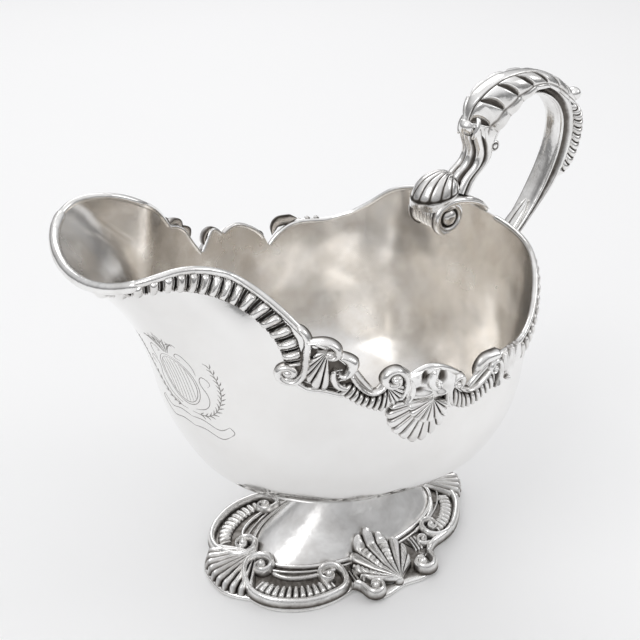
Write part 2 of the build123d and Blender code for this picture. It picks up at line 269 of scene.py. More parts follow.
class Casting:
    """Gathers closed reliefs on a chart; each vertex carries how deep it lies in a recess, which the cast
    finish paints dark as oxide and painted shade.
    """

    def __init__(self, chart):
        self.mesh = bmesh.new()
        self.depth = self.mesh.verts.layers.float.new("depth")
        self.chart = chart

    def sheet(self, columns, rows, place, pole=False, sunk=SUNK, chart=None):
        """A closed sheet: place(u, v) gives two chart coordinates, a height and a depth.

        The top runs from v = 0 to 1 and the underside back again. With a pole, v = 0 is one
        point on the top, and the underside ends under it.
        """
        verts, u, step = self.grid(columns, rows + UNDER_ROWS)
        top = step <= rows
        v = np.where(top, step / rows, 1 - (step - rows) / UNDER_ROWS)
        first, second, height, depth = place(u, v)
        buried = ~top | (step == rows)
        if not pole:
            buried |= step == 0
        height = np.where(buried, sunk, height)
        self.move(verts, (chart or self.chart)(first, second, height), depth)

    def grid(self, columns, rows):
        """A flat grid: its vertices, their share across it and their row."""
        verts, spot = flat_grid(self.mesh, columns, rows)
        return verts, spot[:, 0], np.round(spot[:, 1] * rows).astype(int)

    def move(self, verts, points, depth):
        """Sets a grid's vertices in place, with their depths, and closes its mesh."""
        for vert, point, deep in zip(verts, points * MM, np.broadcast_to(depth, len(points))):
            vert.co = point
            vert[self.depth] = deep
        self.close(verts)

    def tube(self, columns, rows, place):
        """A closed tube in space: place(u, v) gives points and depths, v once round."""
        verts, spot = flat_grid(self.mesh, columns, rows)
        self.move(verts, *place(spot[:, 0], np.mod(spot[:, 1], 1 - 1e-9)))

    def close(self, verts):
        """Welds seams and poles, fills the ends and turns the faces outwards."""
        bmesh.ops.remove_doubles(self.mesh, verts=verts, dist=WELD)
        verts = [vert for vert in verts if vert.is_valid]
        open_edges = {edge for vert in verts for edge in vert.link_edges if edge.is_boundary}
        if open_edges:
            bmesh.ops.holes_fill(self.mesh, edges=list(open_edges))
        faces = list({face for vert in verts for face in vert.link_faces})
        bmesh.ops.recalc_face_normals(self.mesh, faces=faces)

    def strap(self, path, width, height, rows=8, spacing=0.35, section=None, chart=None):
        """A strap along a path on the chart. width and height are numbers or (share, value) stops."""
        curve = as_spline(path)
        shares = np.linspace(0, 1, 400)
        line = curve.at(shares)
        heading = unit(np.gradient(line, axis=0))

        def place(u, v):
            swing = PI * v
            across = -np.cos(swing) * 0.5 * ramp(u, width)
            rise = np.sin(swing)
            x = np.interp(u, shares, line[:, 0]) - across * np.interp(u, shares, heading[:, 1])
            z = np.interp(u, shares, line[:, 1]) + across * np.interp(u, shares, heading[:, 0])
            # Painted shade with oxide: darker down the flanks where the strap meets the ground
            depth = 0.85 * (1 - rise) ** 1.5
            if section is not None:
                rise, depth = section(-np.cos(swing), rise)
            return x, z, ramp(u, height) * rise, depth
        self.sheet(int(max(8, curve.length / spacing)), rows, place, chart=chart)

    def button(self, centre, radius, height):
        """A round boss on the chart."""
        def place(u, v):
            out = radius * np.sin(v * PI / 2)
            turn = 2 * PI * u
            x = centre[0] + out * np.cos(turn)
            z = centre[1] + out * np.sin(turn)
            # The last value darkens the boss towards its foot: oxide with painted shade
            return x, z, height * np.cos(v * PI / 2), 0.9 * v ** 4
        self.sheet(20, 5, place, pole=True)

    def volute(self, path, centre, start, turns, width, height, eye=1.0, tight=0.25):
        """A strap along a path that winds into a spiral round a boss.

        start is the spiral's first point, turns its windings, + counter-clockwise, and tight
        the share of its radius that is left at its end. eye is the boss's radius, 0 for none.
        """
        offset = np.subtract(start, centre)
        radius, angle = np.hypot(*offset), math.atan2(offset[1], offset[0])
        points = list(path)
        steps = max(4, int(abs(turns) * 10))
        for i in range(steps + 1):
            share = i / steps
            reach = radius * tight ** share
            turn = angle + 2 * PI * turns * share
            points.append((centre[0] + reach * math.cos(turn), centre[1] + reach * math.sin(turn)))
        self.strap(points, width, height)
        if eye:
            self.button(centre, eye, 1.1 * max(value for _, value in height))

    def fan(self, hinge, edge, ribs, height, hinge_height=0.6, scallop=0.08, lift=0.0, rows=16,
            per_rib=9, ridge=0.7, groove=1.0, pearls=0.0):
        """A shell: ribs spreading from a hinge to a scalloped edge through a few points.

        ridge is how deep the grooves between ribs are, as a share of the height, groove how
        narrow, and pearls how deep the beading is that is cut across every other rib.
        """
        curve = Spline(edge)

        def place(u, v):
            rib = u * ribs
            part = rib - np.floor(np.minimum(rib, ribs - 1e-6))
            swell = round_end(2 * part - 1)
            rim = curve.at(u)
            out = v * (1 - scallop * (1 - swell))
            x = hinge[0] + (rim[:, 0] - hinge[0]) * out
            z = hinge[1] + (rim[:, 1] - hinge[1]) * out
            rise = hinge_height + (1 - hinge_height) * np.sin(np.clip(v / 0.8, 0, 1) * PI / 2)
            rounding = round_end(np.clip(v - 0.86, 0, 1) / 0.15)
            sides = round_end(2 * u - 1, 8)
            carve = (1 - swell) ** groove * smooth_step(v, 0.02, 0.2)
            beads = (1 - np.abs(np.cos(36 * v))) * smooth_step(v, 0.3, 0.4)
            strung = pearls * (np.floor(rib) % 2) * beads
            shape = 1 - ridge * carve - strung
            # Grooves and the rolled hem are darkened: oxide with painted shade
            depth = np.clip(1.15 * carve + 0.5 * (1 - rounding) + strung, 0, 1)
            return x, z, lift + height * rise * rounding * sides * shape, depth
        self.sheet(ribs * per_rib, rows, place, pole=True)

    def gadroons(self, top, bottom, lobes, height, slot=0.0, slant=0.0):
        """A band of rounded lobes; slot is the half width of a framed slot between two of them."""
        between = band(top, bottom)
        lobe_half = 0.44 - 1.3 * slot if slot else 0.47
        per_lobe = 44 if slot else 16

        def place(u, v):
            x, z = between(u, v)
            from_slot = np.abs(np.mod(u * lobes + slant * (v - 0.5), 1.0) - 0.5)
            from_lobe = 0.5 - from_slot
            reach = round_end(2 * v - 1, 6)
            lobe = round_end(from_lobe / (lobe_half * reach + 1e-6)) * reach
            # Darker between the lobes and in the slots: oxide with painted shade
            rise, depth = lobe, (1 - lobe) ** 0.75
            if slot:
                slot_edge = slot * round_end(np.clip(v - 0.5, 0, 1) / 0.38)
                reed = line_of(from_slot - slot_edge - 0.05, 0.038) * reach * 0.66
                rise = np.maximum(rise, reed)
                depth = 1 - np.clip(rise * 1.6, 0, 1)
            crown = 0.7 + 0.3 * np.sin(PI * v)
            return x, z, height * rise * round_end(2 * u - 1, 20) * crown + 0.12, depth
        self.sheet(lobes * per_lobe, 14, place)

    def ground(self, top, bottom, height=GROUND_HEIGHT, columns=60, depth=1.0):
        """The plain sunk ground that carries the ornaments, coloured dark: oxide with painted shade between
        the ornaments.
        """
        between = band(top, bottom)
        self.sheet(columns, 6, lambda u, v: (*between(u, v), np.full_like(u, height), depth))

    def leaf(self, path, width, height, vein=0.0):
        """A rounded strap with a sunk vein along its middle."""
        def section(across, rise):
            # The sunk vein and the flanks are darkened: oxide with painted shade
            line = vein * line_of(across, 0.18)
            return rise * (1 - line), np.clip(0.9 * (1 - rise) ** 1.5 + line, 0, 1)
        self.strap(path, width, height, rows=10, section=section)

    def finish(self, name, replaced, material):
        return finish_piece(self.mesh, name, replaced, material)


def flat_grid(mesh_builder, columns, rows):
    """Vertices of a new grid and their places on it, each from 0 to 1."""
    size = {"x_segments": columns, "y_segments": rows, "size": 0.5}
    verts = bmesh.ops.create_grid(mesh_builder, **size)["verts"]
    return verts, np.array([vert.co[:2] for vert in verts]) + 0.5


def band(top, bottom):
    """Chart places between two lines: share along them, and share of the way down."""
    upper, lower = as_spline(top), as_spline(bottom)

    def between(u, v):
        first, last = upper.at(u), lower.at(u)
        return (first + (last - first) * v[:, None]).T
    return between


def rounded(value):
    """Stops of a strap that rounds off at both ends."""
    ends = [(0, 0.0), (0.015, 0.6), (0.04, 0.9), (0.07, 1.0)]
    stops = ends + [(1 - share, part) for share, part in ends[::-1]]
    return [(share, value * part) for share, part in stops]


# ---------------------------------------------------------------- materials
class Link:
    """A shader socket that can be used in sums."""

    def __init__(self, nodes, socket):
        self.nodes, self.socket = nodes, socket

    def _math(self, operation, first, second):
        return self.nodes.add("ShaderNodeMath", {"operation": operation}, {0: first, 1: second})

    def __add__(self, other):
        return self._math("ADD", self, other)

    def __sub__(self, other):
        return self._math("SUBTRACT", self, other)

    def __mul__(self, other):
        return self._math("MULTIPLY", self, other)

    def __rsub__(self, other):
        return self._math("SUBTRACT", other, self)

    __radd__, __rmul__ = __add__, __mul__

    def clamped(self):
        return self.nodes.add("ShaderNodeClamp", {}, {0: self})


class Nodes:
    """The nodes of a material or of the surroundings, written one call each."""

    def __init__(self, owner):
        owner.use_nodes = True
        self.tree = owner.node_tree
        self.tree.nodes.clear()

    def add(self, kind, settings=None, inputs=None, output=0):
        """A node of a kind, its settings, then the values or links of its sockets."""
        node = self.tree.nodes.new(kind)
        for key, value in (settings or {}).items():
            if key == "stops":
                ramp_points = node.color_ramp.elements
                while len(ramp_points) < len(value):
                    ramp_points.new(0.5)
                for element, (position, colour) in zip(ramp_points, value):
                    element.position, element.color = position, (*colour, 1)
            else:
                setattr(node, key, value)
        for key, value in (inputs or {}).items():
            self.set(node.inputs[key], value)
        return node if output is None else Link(self, node.outputs[output])

    def set(self, socket, value):
        if isinstance(value, Link):
            self.tree.links.new(value.socket, socket)
        elif isinstance(value, tuple) and len(value) == 3 and socket.type == "RGBA":
            socket.default_value = (*value, 1)
        else:
            socket.default_value = value

    def ramp(self, value, stops):
        return self.add("ShaderNodeValToRGB", {"stops": stops}, {0: value})


class Finish(Nodes):
    """One procedural material: a principled shader and the patterns that feed it."""

    def __init__(self, name):
        self.material = bpy.data.materials.new(name)
        super().__init__(self.material)
        self.shader = self.tree.nodes.new("ShaderNodeBsdfPrincipled")
        output = self.tree.nodes.new("ShaderNodeOutputMaterial")
        self.tree.links.new(self.shader.outputs[0], output.inputs["Surface"])

    def noise(self, scale, detail=3.0, roughness=0.55):
        place = self.add("ShaderNodeTexCoord", output="Object")
        inputs = {"Vector": place, "Scale": scale, "Detail": detail, "Roughness": roughness}
        return self.add("ShaderNodeTexNoise", {}, inputs)

    def mix(self, factor, first, second, blend="MIX"):
        settings = {"data_type": "RGBA", "blend_type": blend}
        return self.add("ShaderNodeMix", settings, {0: factor, 6: first, 7: second}, 2)

    def bump(self, height, strength, distance, under=None):
        inputs = {"Strength": strength, "Distance": distance, "Height": height}
        if under is not None:
            inputs["Normal"] = under
        return self.add("ShaderNodeBump", {}, inputs)

    def surface(self, colour, roughness, normal=None, metallic=1.0):
        """The finished material, bare metal unless told otherwise."""
        self.set(self.shader.inputs["Base Color"], colour)
        self.set(self.shader.inputs["Roughness"], roughness)
        self.set(self.shader.inputs["Metallic"], metallic)
        if normal is not None:
            self.set(self.shader.inputs["Normal"], normal)
        return self.material


BLACK, WHITE = (0, 0, 0), (1, 1, 1)
SILVER = (0.93, 0.925, 0.915)
BRIGHT_SILVER = (0.905, 0.90, 0.89)
HAZY_SILVER = (0.86, 0.85, 0.835)
WARM_SILVER = (0.90, 0.875, 0.84)
GREY_SILVER = (0.80, 0.785, 0.77)
# Lightest cloud tone of the inside: partly a painted highlight
LIGHT_SILVER = (0.96, 0.95, 0.935)
TARNISH = (0.84, 0.815, 0.78)
# Recess colours: oxide that the silver keeps in its hollows, deepened into painted shade
WORN_OXIDE_AND_SHADE = (0.56, 0.545, 0.53)
BROWN_OXIDE_AND_SHADE = (0.17, 0.155, 0.14)
OXIDE_AND_SHADE = (0.065, 0.058, 0.052)
CAST_SHADE = (0.66, 0.645, 0.63)
ENGRAVED = (0.30, 0.29, 0.28)


def polished_silver():
    """Bright outside of the bowl: faint hammer waves, hairlines and a little haze."""
    silver = Finish("polished_silver")
    waves = silver.noise(14.0, 1.0, 0.4)
    haze = silver.noise(55.0, 4.0, 0.6)
    hairlines = silver.noise(900.0, 2.0, 0.5)
    hazy = silver.ramp(haze, [(0.35, BLACK), (0.75, WHITE)])
    colour = silver.mix(hazy, BRIGHT_SILVER, HAZY_SILVER)
    normal = silver.bump(waves, 0.25, 0.004)
    normal = silver.bump(hairlines, 0.05, 0.0002, normal)
    return silver.surface(colour, 0.07 + haze * 0.09, normal)


def used_silver():
    """Inside of the bowl: warmer, blotchy with tarnish and scouring; the lightest of its cloudy tones are
    painted highlights.
    """
    silver = Finish("inside_silver")
    clouds = silver.noise(28.0, 4.0, 0.6)
    blotches = silver.noise(75.0, 5.0, 0.65)
    waves = silver.noise(20.0, 2.0, 0.5)
    # Cloudy tone: uneven metal, with painted highlights in the lightest patches
    tone_and_highlights = silver.ramp(clouds, [(0.36, GREY_SILVER), (0.5, WARM_SILVER), (0.66, LIGHT_SILVER)])
    stained = silver.ramp(blotches, [(0.38, TARNISH), (0.62, WHITE)])
    colour = silver.mix(0.7, tone_and_highlights, stained, "MULTIPLY")
    normal = silver.bump(waves, 0.7, 0.008)
    normal = silver.bump(blotches, 0.05, 0.0006, normal)
    return silver.surface(colour, 0.12 + clouds * 0.26, normal)


def cast_silver(name, roughness=0.18):
    """Cast ornament: bright on its heights, dark in its recesses: oxide left there, deepened with painted
    shade.
    """
    silver = Finish(name)
    depth = silver.add("ShaderNodeAttribute", {"attribute_name": "depth"}, output="Fac")
    worn = silver.noise(420.0, 3.0, 0.6)
    clouds = silver.noise(90.0, 3.0, 0.6)
    # The recess value paints the hollows dark: oxide with painted shade
    dark = depth + (worn - 0.5) * 0.35
    recess_stops = [(0.22, SILVER), (0.44, WORN_OXIDE_AND_SHADE), (0.66, BROWN_OXIDE_AND_SHADE), (0.92, OXIDE_AND_SHADE)]
    recess_oxide_and_shade = silver.ramp(dark, recess_stops)
    shade = silver.ramp(clouds, [(0.36, CAST_SHADE), (0.62, WHITE)])
    colour = silver.mix(0.6, recess_oxide_and_shade, shade, "MULTIPLY")
    normal = silver.bump(worn, 0.2, 0.0004)
    normal = silver.bump(clouds, 0.2, 0.002, normal)
    return silver.surface(colour, roughness + (dark * 0.4).clamped(), normal)


def engraved_lines():
    """Cut lines: grey, dull grooves."""
    return Finish("engraved_lines").surface(ENGRAVED, 0.4)


# ---------------------------------------------------------------- the bowl
def make_bowl(outside, inside):
    """Raised sheet bowl with a scrolled rim: one grid from the floor's pole to the rim."""
    columns, rows, floor_rows = 640, 54, 3
    builder = bmesh.new()
    grid, spot = flat_grid(builder, columns, rows)
    angle = (2 * spot[:, 0] - 1) * PI
    foot_level = BOWL_LEVELS[0]
    heights = np.linspace(foot_level[0], HIGHEST_RIM, 600)
    run = run_along(np.stack([heights, LEVELS.value(heights)[:, 2]], axis=-1))
    rim_run = np.interp(rim_height(angle), heights, run)
    floor_share = floor_rows / rows
    up = np.clip((spot[:, 1] - floor_share) / (1 - floor_share), 0, 1)
    points = wall(angle, np.interp(up * rim_run, run, heights))
    inward = np.clip(spot[:, 1] / floor_share, 0, 1)
    middle = np.array([(foot_level[1] + foot_level[2]) / 2, 0])
    points[:, :2] = middle + (points[:, :2] - middle) * inward[:, None]
    points[:, 2] -= (foot_level[0] - FLOOR_Z) * (1 - inward ** 2)
    for vert, point in zip(grid, points * MM):
        vert.co = point
    bmesh.ops.remove_doubles(builder, verts=builder.verts, dist=WELD)
    bmesh.ops.recalc_face_normals(builder, faces=builder.faces)
    lowest = min(builder.faces, key=lambda face: face.calc_center_median().z)
    if lowest.normal.z > 0:
        bmesh.ops.reverse_faces(builder, faces=builder.faces)
    outer = set(builder.faces)
    bmesh.ops.solidify(builder, geom=list(builder.faces), thickness=BOWL_WALL * MM)
    for face in builder.faces:
        face.material_index = 0 if face in outer else 1
    piece = finish_piece(builder, "bowl_body", ["bowl"], outside)
    piece.data.materials.append(inside)
    return piece


# ---------------------------------------------------------------- the border
def arch_gadroons(casting):
    """Slotted gadroons that follow the arch of the lip's side down to a volute."""
    top = [(-95.4, 135.2), (-91, 138.9), (-87, 141.2), (-83, 142.6), (-79, 143.1), (-72, 142.6),
           (-66, 140.6), (-60, 137.2), (-54, 132.3), (-49.3, 126.4), (-46.3, 119), (-45.9, 112.5)]
    bottom = [(-93.4, 133), (-89.2, 135.6), (-86, 137.2), (-82.5, 138.3), (-78.8, 138.4),
              (-72.8, 136.6), (-66.9, 134), (-60.9, 130.2), (-56.2, 126), (-52.6, 121.2),
              (-50.8, 116.5), (-50, 111.8)]
    casting.ground(top, bottom)
    casting.gadroons(top, bottom, 18, 2.3, slot=0.075)
    rim_wire(casting, RIM_RUNS[1], 1.15, first=0.12)
    inner_wire = [(-46.4, 125), (-44.4, 121.3), (-44.6, 117), (-45, 112.5), (-46.2, 108.9)]
    casting.volute(inner_wire, (-49.1, 110.3), (-48.5, 107.2), -1.15, rounded(2.2), rounded(2.4),
                   eye=1.5)


def corner_shell(casting):
    """Small shell in the corner under the arch, hung from two scrolls of the rim."""
    top = [(-44.9, 119.5), (-41, 118), (-37, 115), (-34.4, 111.5), (-33.4, 108)]
    bottom = [(-49.5, 107.8), (-45.8, 106.3), (-42, 105), (-38.5, 104.4), (-34.5, 103.6)]
    casting.ground(top, bottom, 0.5, depth=0.7)
    rim_wire(casting, RIM_RUNS[2])
    hem = [(-50.4, 108.4), (-47.4, 107.1), (-45, 105.2), (-41.6, 104.6), (-38.4, 103.5), (-35.4, 102.7)]
    casting.strap(hem, rounded(2.0), rounded(1.9))
    shell = [(-42.2, 117.8), (-44.1, 114.8), (-45.1, 111.2), (-45, 107.6), (-43.2, 105.4),
             (-40.8, 105), (-39.3, 106)]
    casting.fan((-39.7, 117.8), shell, 6, 2.4, lift=0.2, groove=1.3)
    upper_scroll = [(-45, 120.2), (-42.9, 120.4), (-40.4, 120.4), (-38.3, 119.3)]
    upper_width = [(0, 0), (0.05, 1.4), (0.4, 2.4), (0.7, 2.4), (1, 1.0)]
    casting.volute(upper_scroll, (-39.2, 116.9), (-37.3, 117), -0.9, upper_width, rounded(3.1),
                   eye=1.2)
    lower_scroll = [(-37.2, 116.2), (-35.2, 115), (-33.7, 112.9), (-34.6, 110.6)]
    lower_width = [(0, 0), (0.06, 2.2), (0.4, 3.8), (0.7, 2.6), (1, 1.1)]
    casting.volute(lower_scroll, (-36.4, 110.6), (-36.2, 109.6), -0.4, lower_width, rounded(3.0),
                   eye=0)
    casting.strap([(-38.2, 112), (-38.6, 108.8), (-37.4, 106.2), (-34.6, 105.2)],
                  [(0, 0), (0.1, 1.6), (0.6, 2.4), (0.9, 2.2), (1, 0)], rounded(2.4))
    for i in range(4):
        x, z = -38.3 + 0.3 * i, 110.9 - 1.1 * i
        casting.strap([(x, z), (x + 1.2, z + 0.4), (x + 2.2, z + 0.4)], rounded(0.7), rounded(1.0), rows=5)


def front_festoon(casting):
    """Hanging swag of slanted gadroons under a smooth strap."""
    top = [(-36.2, 106.8), (-33.9, 106.8), (-31.6, 103.6), (-28.5, 101.6), (-25.6, 102.3), (-23.8, 104)]
    bottom = [(-38, 104), (-35, 101.2), (-32, 98.8), (-28.5, 96.8), (-25.4, 95.7), (-23.6, 96.6)]
    casting.ground(top, bottom)
    casting.gadroons(top, bottom, 9, 2.2, slant=0.4)
    strap = [(-34.3, 110), (-32.9, 107), (-30.6, 104.2), (-28.3, 102.8), (-26.2, 103.4), (-24.6, 105)]
    casting.strap(strap, rounded(1.7), rounded(2.4))


def scroll_curl(casting):
    """Tall scroll that winds in at the rim, with a ribbed fan inside it."""
    casting.ground([(-25.5, 105), (-24.5, 109), (-21.5, 109.8), (-18.8, 106)],
                   [(-24.3, 103), (-23, 100.5), (-21, 98.6), (-18.6, 99)])
    rim_wire(casting, RIM_RUNS[3])
    fan = [(-22.6, 97), (-20.6, 98.6), (-19.4, 101), (-19.2, 103.5), (-20.3, 105.6)]
    casting.fan((-24.6, 104.8), fan, 6, 1.7, hinge_height=0.8)
    scroll = [(-20.8, 97.8), (-19, 100.6), (-18.3, 104), (-19.6, 107.9), (-22, 109.6), (-24.4, 108.6)]
    width = [(0, 0), (0.06, 1.3), (0.4, 2.2), (0.62, 3.0), (0.8, 2.2), (1, 0.9)]
    height = [(0, 0), (0.06, 1.6), (0.5, 2.6), (0.8, 2.8), (1, 2.2)]
    casting.volute(scroll, (-22.3, 106.6), (-25, 106.2), 1.05, width, height, eye=1.25)


def crest_leaf(casting):
    """Folded leaf over the shell: a smooth crest with two hollows and a curled tongue between."""
    top = [(-18.3, 106.6), (-15, 107.6), (-11, 108), (-6.5, 106.4), (-2.2, 102.9)]
    bottom = [(-18.4, 98.6), (-14.5, 98.4), (-10.8, 97.4), (-7, 97.6), (-3.9, 98.2)]
    between = band(top, bottom)
    # Each one's middle, half width, half height and amount
    hollows = [(-13.0, 105.6, 1.1, 2.3, 1.0), (-7.2, 104.6, 1.3, 2.7, 1.0),
               (-14.9, 101.2, 2.2, 1.0, 0.8), (-7.9, 100.0, 1.5, 0.8, 0.5)]
    swells = [(-15.6, 105.4, 1.4, 2.2, 0.9), (-10.4, 105.2, 1.3, 3.0, 1.2),
              (-4.4, 101.6, 1.6, 3.6, 1.2), (-12.6, 99.4, 2.6, 0.8, 0.9), (-7.2, 98.3, 1.6, 0.7, 0.7)]

    def place(u, v):
        x, z = between(u, v)
        height, depth = np.full_like(u, 1.5), np.zeros_like(u)
        for middle_x, middle_z, wide, tall, amount in swells:
            away = ((x - middle_x) / wide) ** 2 + ((z - middle_z) / tall) ** 2
            height += amount * np.exp(-away)
        for middle_x, middle_z, wide, tall, amount in hollows:
            away = ((x - middle_x) / wide) ** 2 + ((z - middle_z) / tall) ** 2
            cut = amount * np.exp(-away ** 1.15)
            height -= 1.3 * cut
            # The hollows are darkened too: oxide with painted shade
            depth += 0.85 * cut
        return x, z, height, np.clip(depth, 0, 1)
    casting.sheet(84, 56, place)
    rim_wire(casting, RIM_RUNS[4], last=0.85)
    fold = [(-10.6, 108), (-11.1, 105), (-10.7, 102.2), (-9.4, 101.4)]
    fold_width = [(0, 1.4), (0.3, 3.2), (0.6, 3.0), (1, 1.2)]
    casting.volute(fold, (-9.3, 102.9), (-8.2, 102.2), 0.4, fold_width, rounded(3.3), eye=0.8)
    casting.strap([(-18, 106), (-16.6, 102.5), (-17.2, 99.4), (-19.4, 97.4)],
                  [(0, 0), (0.2, 1.8), (0.8, 2.2), (1, 0)], rounded(2.5))
    casting.strap([(-2.4, 101.8), (-4.2, 98.6), (-3.8, 95.4), (-2.6, 92.2)],
                  [(0, 0), (0.2, 2.0), (0.7, 1.8), (1, 0)], rounded(2.5))


def side_shell(casting):
    """The large shell at the middle of the side: a wide fan with a smaller one on it."""
    hinge = (-10.4, 97.8)
    outer = [(-21, 98), (-23.8, 95.2), (-23.6, 91), (-21.4, 86.6), (-17.9, 83.4), (-13.9, 81.4),
             (-10.6, 82.4), (-7.6, 84.6), (-4.8, 87.2), (-3.1, 91)]
    inner = [(-18.2, 97.4), (-17.7, 94), (-16, 91.3), (-13, 89.4), (-9.6, 89), (-6.4, 90),
             (-4.6, 92.6), (-4.6, 95)]
    casting.fan(hinge, outer, 10, 1.9, hinge_height=0.7, scallop=0.13, rows=30, per_rib=14,
                ridge=0.75, groove=1.3)
    casting.fan(hinge, inner, 8, 3.1, hinge_height=0.8, scallop=0.14, rows=20, per_rib=14,
                ridge=0.55, groove=1.2)


def rear_festoon(casting):
    """Gadroon swag behind the shell, between two scrolls, with a leaf over it."""
    top = [(-3.2, 98.8), (-0.8, 97.2), (1.6, 95), (4.3, 94.4), (7.4, 95), (10, 97), (13.2, 99.4)]
    bottom = [(-3.3, 92.6), (-0.5, 90.3), (2, 89.3), (5, 89.1), (8, 89.8), (11.2, 91.1), (14.6, 93)]
    casting.ground(top, bottom)
    casting.gadroons(top, bottom, 10, 1.9, slant=-0.3)
    rim_wire(casting, RIM_RUNS[5], last=0.42)
    strap = [(-0.6, 98.8), (0.9, 96.9), (3.6, 95.8), (6.6, 96.2), (9.6, 98.4), (12, 100.6)]
    casting.strap(strap, rounded(1.6), rounded(2.3))
    front_scroll = [(-1.7, 90.6), (-3.7, 93), (-4.7, 96.2), (-4.3, 99.4), (-2.6, 101.8)]
    front_width = [(0, 0), (0.08, 1.4), (0.5, 1.9), (0.75, 2.3), (1, 0.9)]
    front_height = [(0, 0), (0.08, 1.7), (0.6, 2.5), (1, 2.0)]
    casting.volute(front_scroll, (-1.5, 99.8), (-0.6, 102.2), -0.85, front_width, front_height)
    rear_scroll = [(14.3, 91.8), (15.9, 94.4), (16.4, 98), (15.4, 101.2)]
    rear_width = [(0, 0), (0.08, 1.3), (0.6, 2.0), (1, 0.8)]
    casting.volute(rear_scroll, (12.9, 100.2), (13.4, 102.8), 1.0, rear_width, rounded(2.4), eye=0.9)
    casting.leaf([(5.2, 100), (7.4, 104.3), (11.4, 105), (16.2, 104.9)],
                 [(0, 0), (0.15, 2.4), (0.45, 4.2), (0.8, 3.4), (1, 0)],
                 [(0, 0), (0.2, 2.2), (0.8, 2.6), (1, 0)])


def rear_leaf(casting):
    """Three hanging leaves side by side, with a bead at the tip of the longest."""
    casting.ground([(16, 103.0), (20, 103.8), (24, 103.2), (27, 103.0)],
                   [(16.6, 97.5), (19.5, 96.5), (22.5, 97), (26, 99)], 0.5, depth=0.6)
    rim_wire(casting, RIM_RUNS[5], 1.1, first=0.38, last=0.78)
    for start, end, wide in [((17, 104), (17.6, 96.4), 3.6), ((20.2, 104.4), (20.4, 93.8), 4.0),
                             ((23.6, 104.2), (23.4, 95.6), 3.4)]:
        middle = ((start[0] + end[0]) / 2 + 0.5, (start[1] + end[1]) / 2)
        casting.leaf([start, middle, end], [(0, 1.8), (0.4, wide), (0.8, wide * 0.8), (1, 0)],
                       [(0, 2.4), (0.4, 2.8), (0.85, 2.4), (1, 0)], vein=0.35)
    casting.button((21.9, 92.2), 0.9, 1.6)


def rear_gadroons(casting):
    """Slanted gadroons from the leaves round to the handle, on a chart that follows the rim."""
    first, last = angle_at(26.5), math.radians(175)
    angles = np.linspace(first, last, 12)
    drops = ramp(angles, [(first, 8.6), (first + 0.3, 6.6), (last, 5.6)])
    top = Spline([(angle, 1.3) for angle in angles], angles - first)
    bottom = Spline([(angle - 0.02, drop) for angle, drop in zip(angles, drops)], angles - first)
    casting.ground(top, bottom, columns=120)
    casting.gadroons(top, bottom, 19, 2.0, slant=-0.9)
    round_wire(casting, first, last, 1.0)


def wire_on(casting, edge, outward, radius):
    """A rounded wire along an edge of the sheet: edge points, the way out of the wall, a radius."""
    proud = 0.45                                          # share of the radius above the edge
    run = run_along(edge)
    above = np.cross(outward, unit(np.gradient(edge, axis=0)))
    above = unit(above * np.sign(above[:, 2:3]))
    centre = edge + above * radius * (proud - 1) + outward * (radius * 0.4 - BOWL_WALL * 0.7)

    def place(u, v):
        def along(values):
            return np.stack([np.interp(u * run[-1], run, values[:, i]) for i in range(3)], axis=-1)
        swing = 2 * PI * v
        ends = radius * round_end(2 * u - 1, 60)
        out = (ends * np.cos(swing))[:, None] * along(outward)
        up = (ends * np.sin(swing))[:, None] * along(above)
        return along(centre) + out + up, 0.0
    casting.tube(int(run[-1] / 0.5), 12, place)


def rim_wire(casting, run, radius=1.0, first=0.0, last=1.0):
    """Wire along a share of a run of the rim, on a casting whose chart is seen from the side."""
    x, z = Spline(run).at(np.linspace(first, last, 80)).T
    edge = casting.chart(x, z, 0.0)
    wire_on(casting, edge, casting.chart(x, z, 1.0) - edge, radius)


def round_wire(casting, first, last, radius):
    """Wire along the rim between two angles, on a casting whose chart follows the rim."""
    angle = np.linspace(first, last, 240)
    outward = casting.chart(angle, 1.0, 1.0) - casting.chart(angle, 1.0, 0.0)
    wire_on(casting, casting.chart(angle, 0.0, 0.0), outward, radius)


def front_chart():
    """Chart of the wall under the lip: distance round it from the cartouche, height over it."""
    angles = np.linspace(-1.5, 1.5, 900)
    level = wall(angles, CARTOUCHE_Z)
    run = run_along(level)
    middle = np.interp(CARTOUCHE_Y, level[:, 1], run)

    def place(across, up, out):
        angle = np.interp(middle - across, run, angles)
        return under_rim(angle, rim_height(angle) - CARTOUCHE_Z - up, out)
    return place


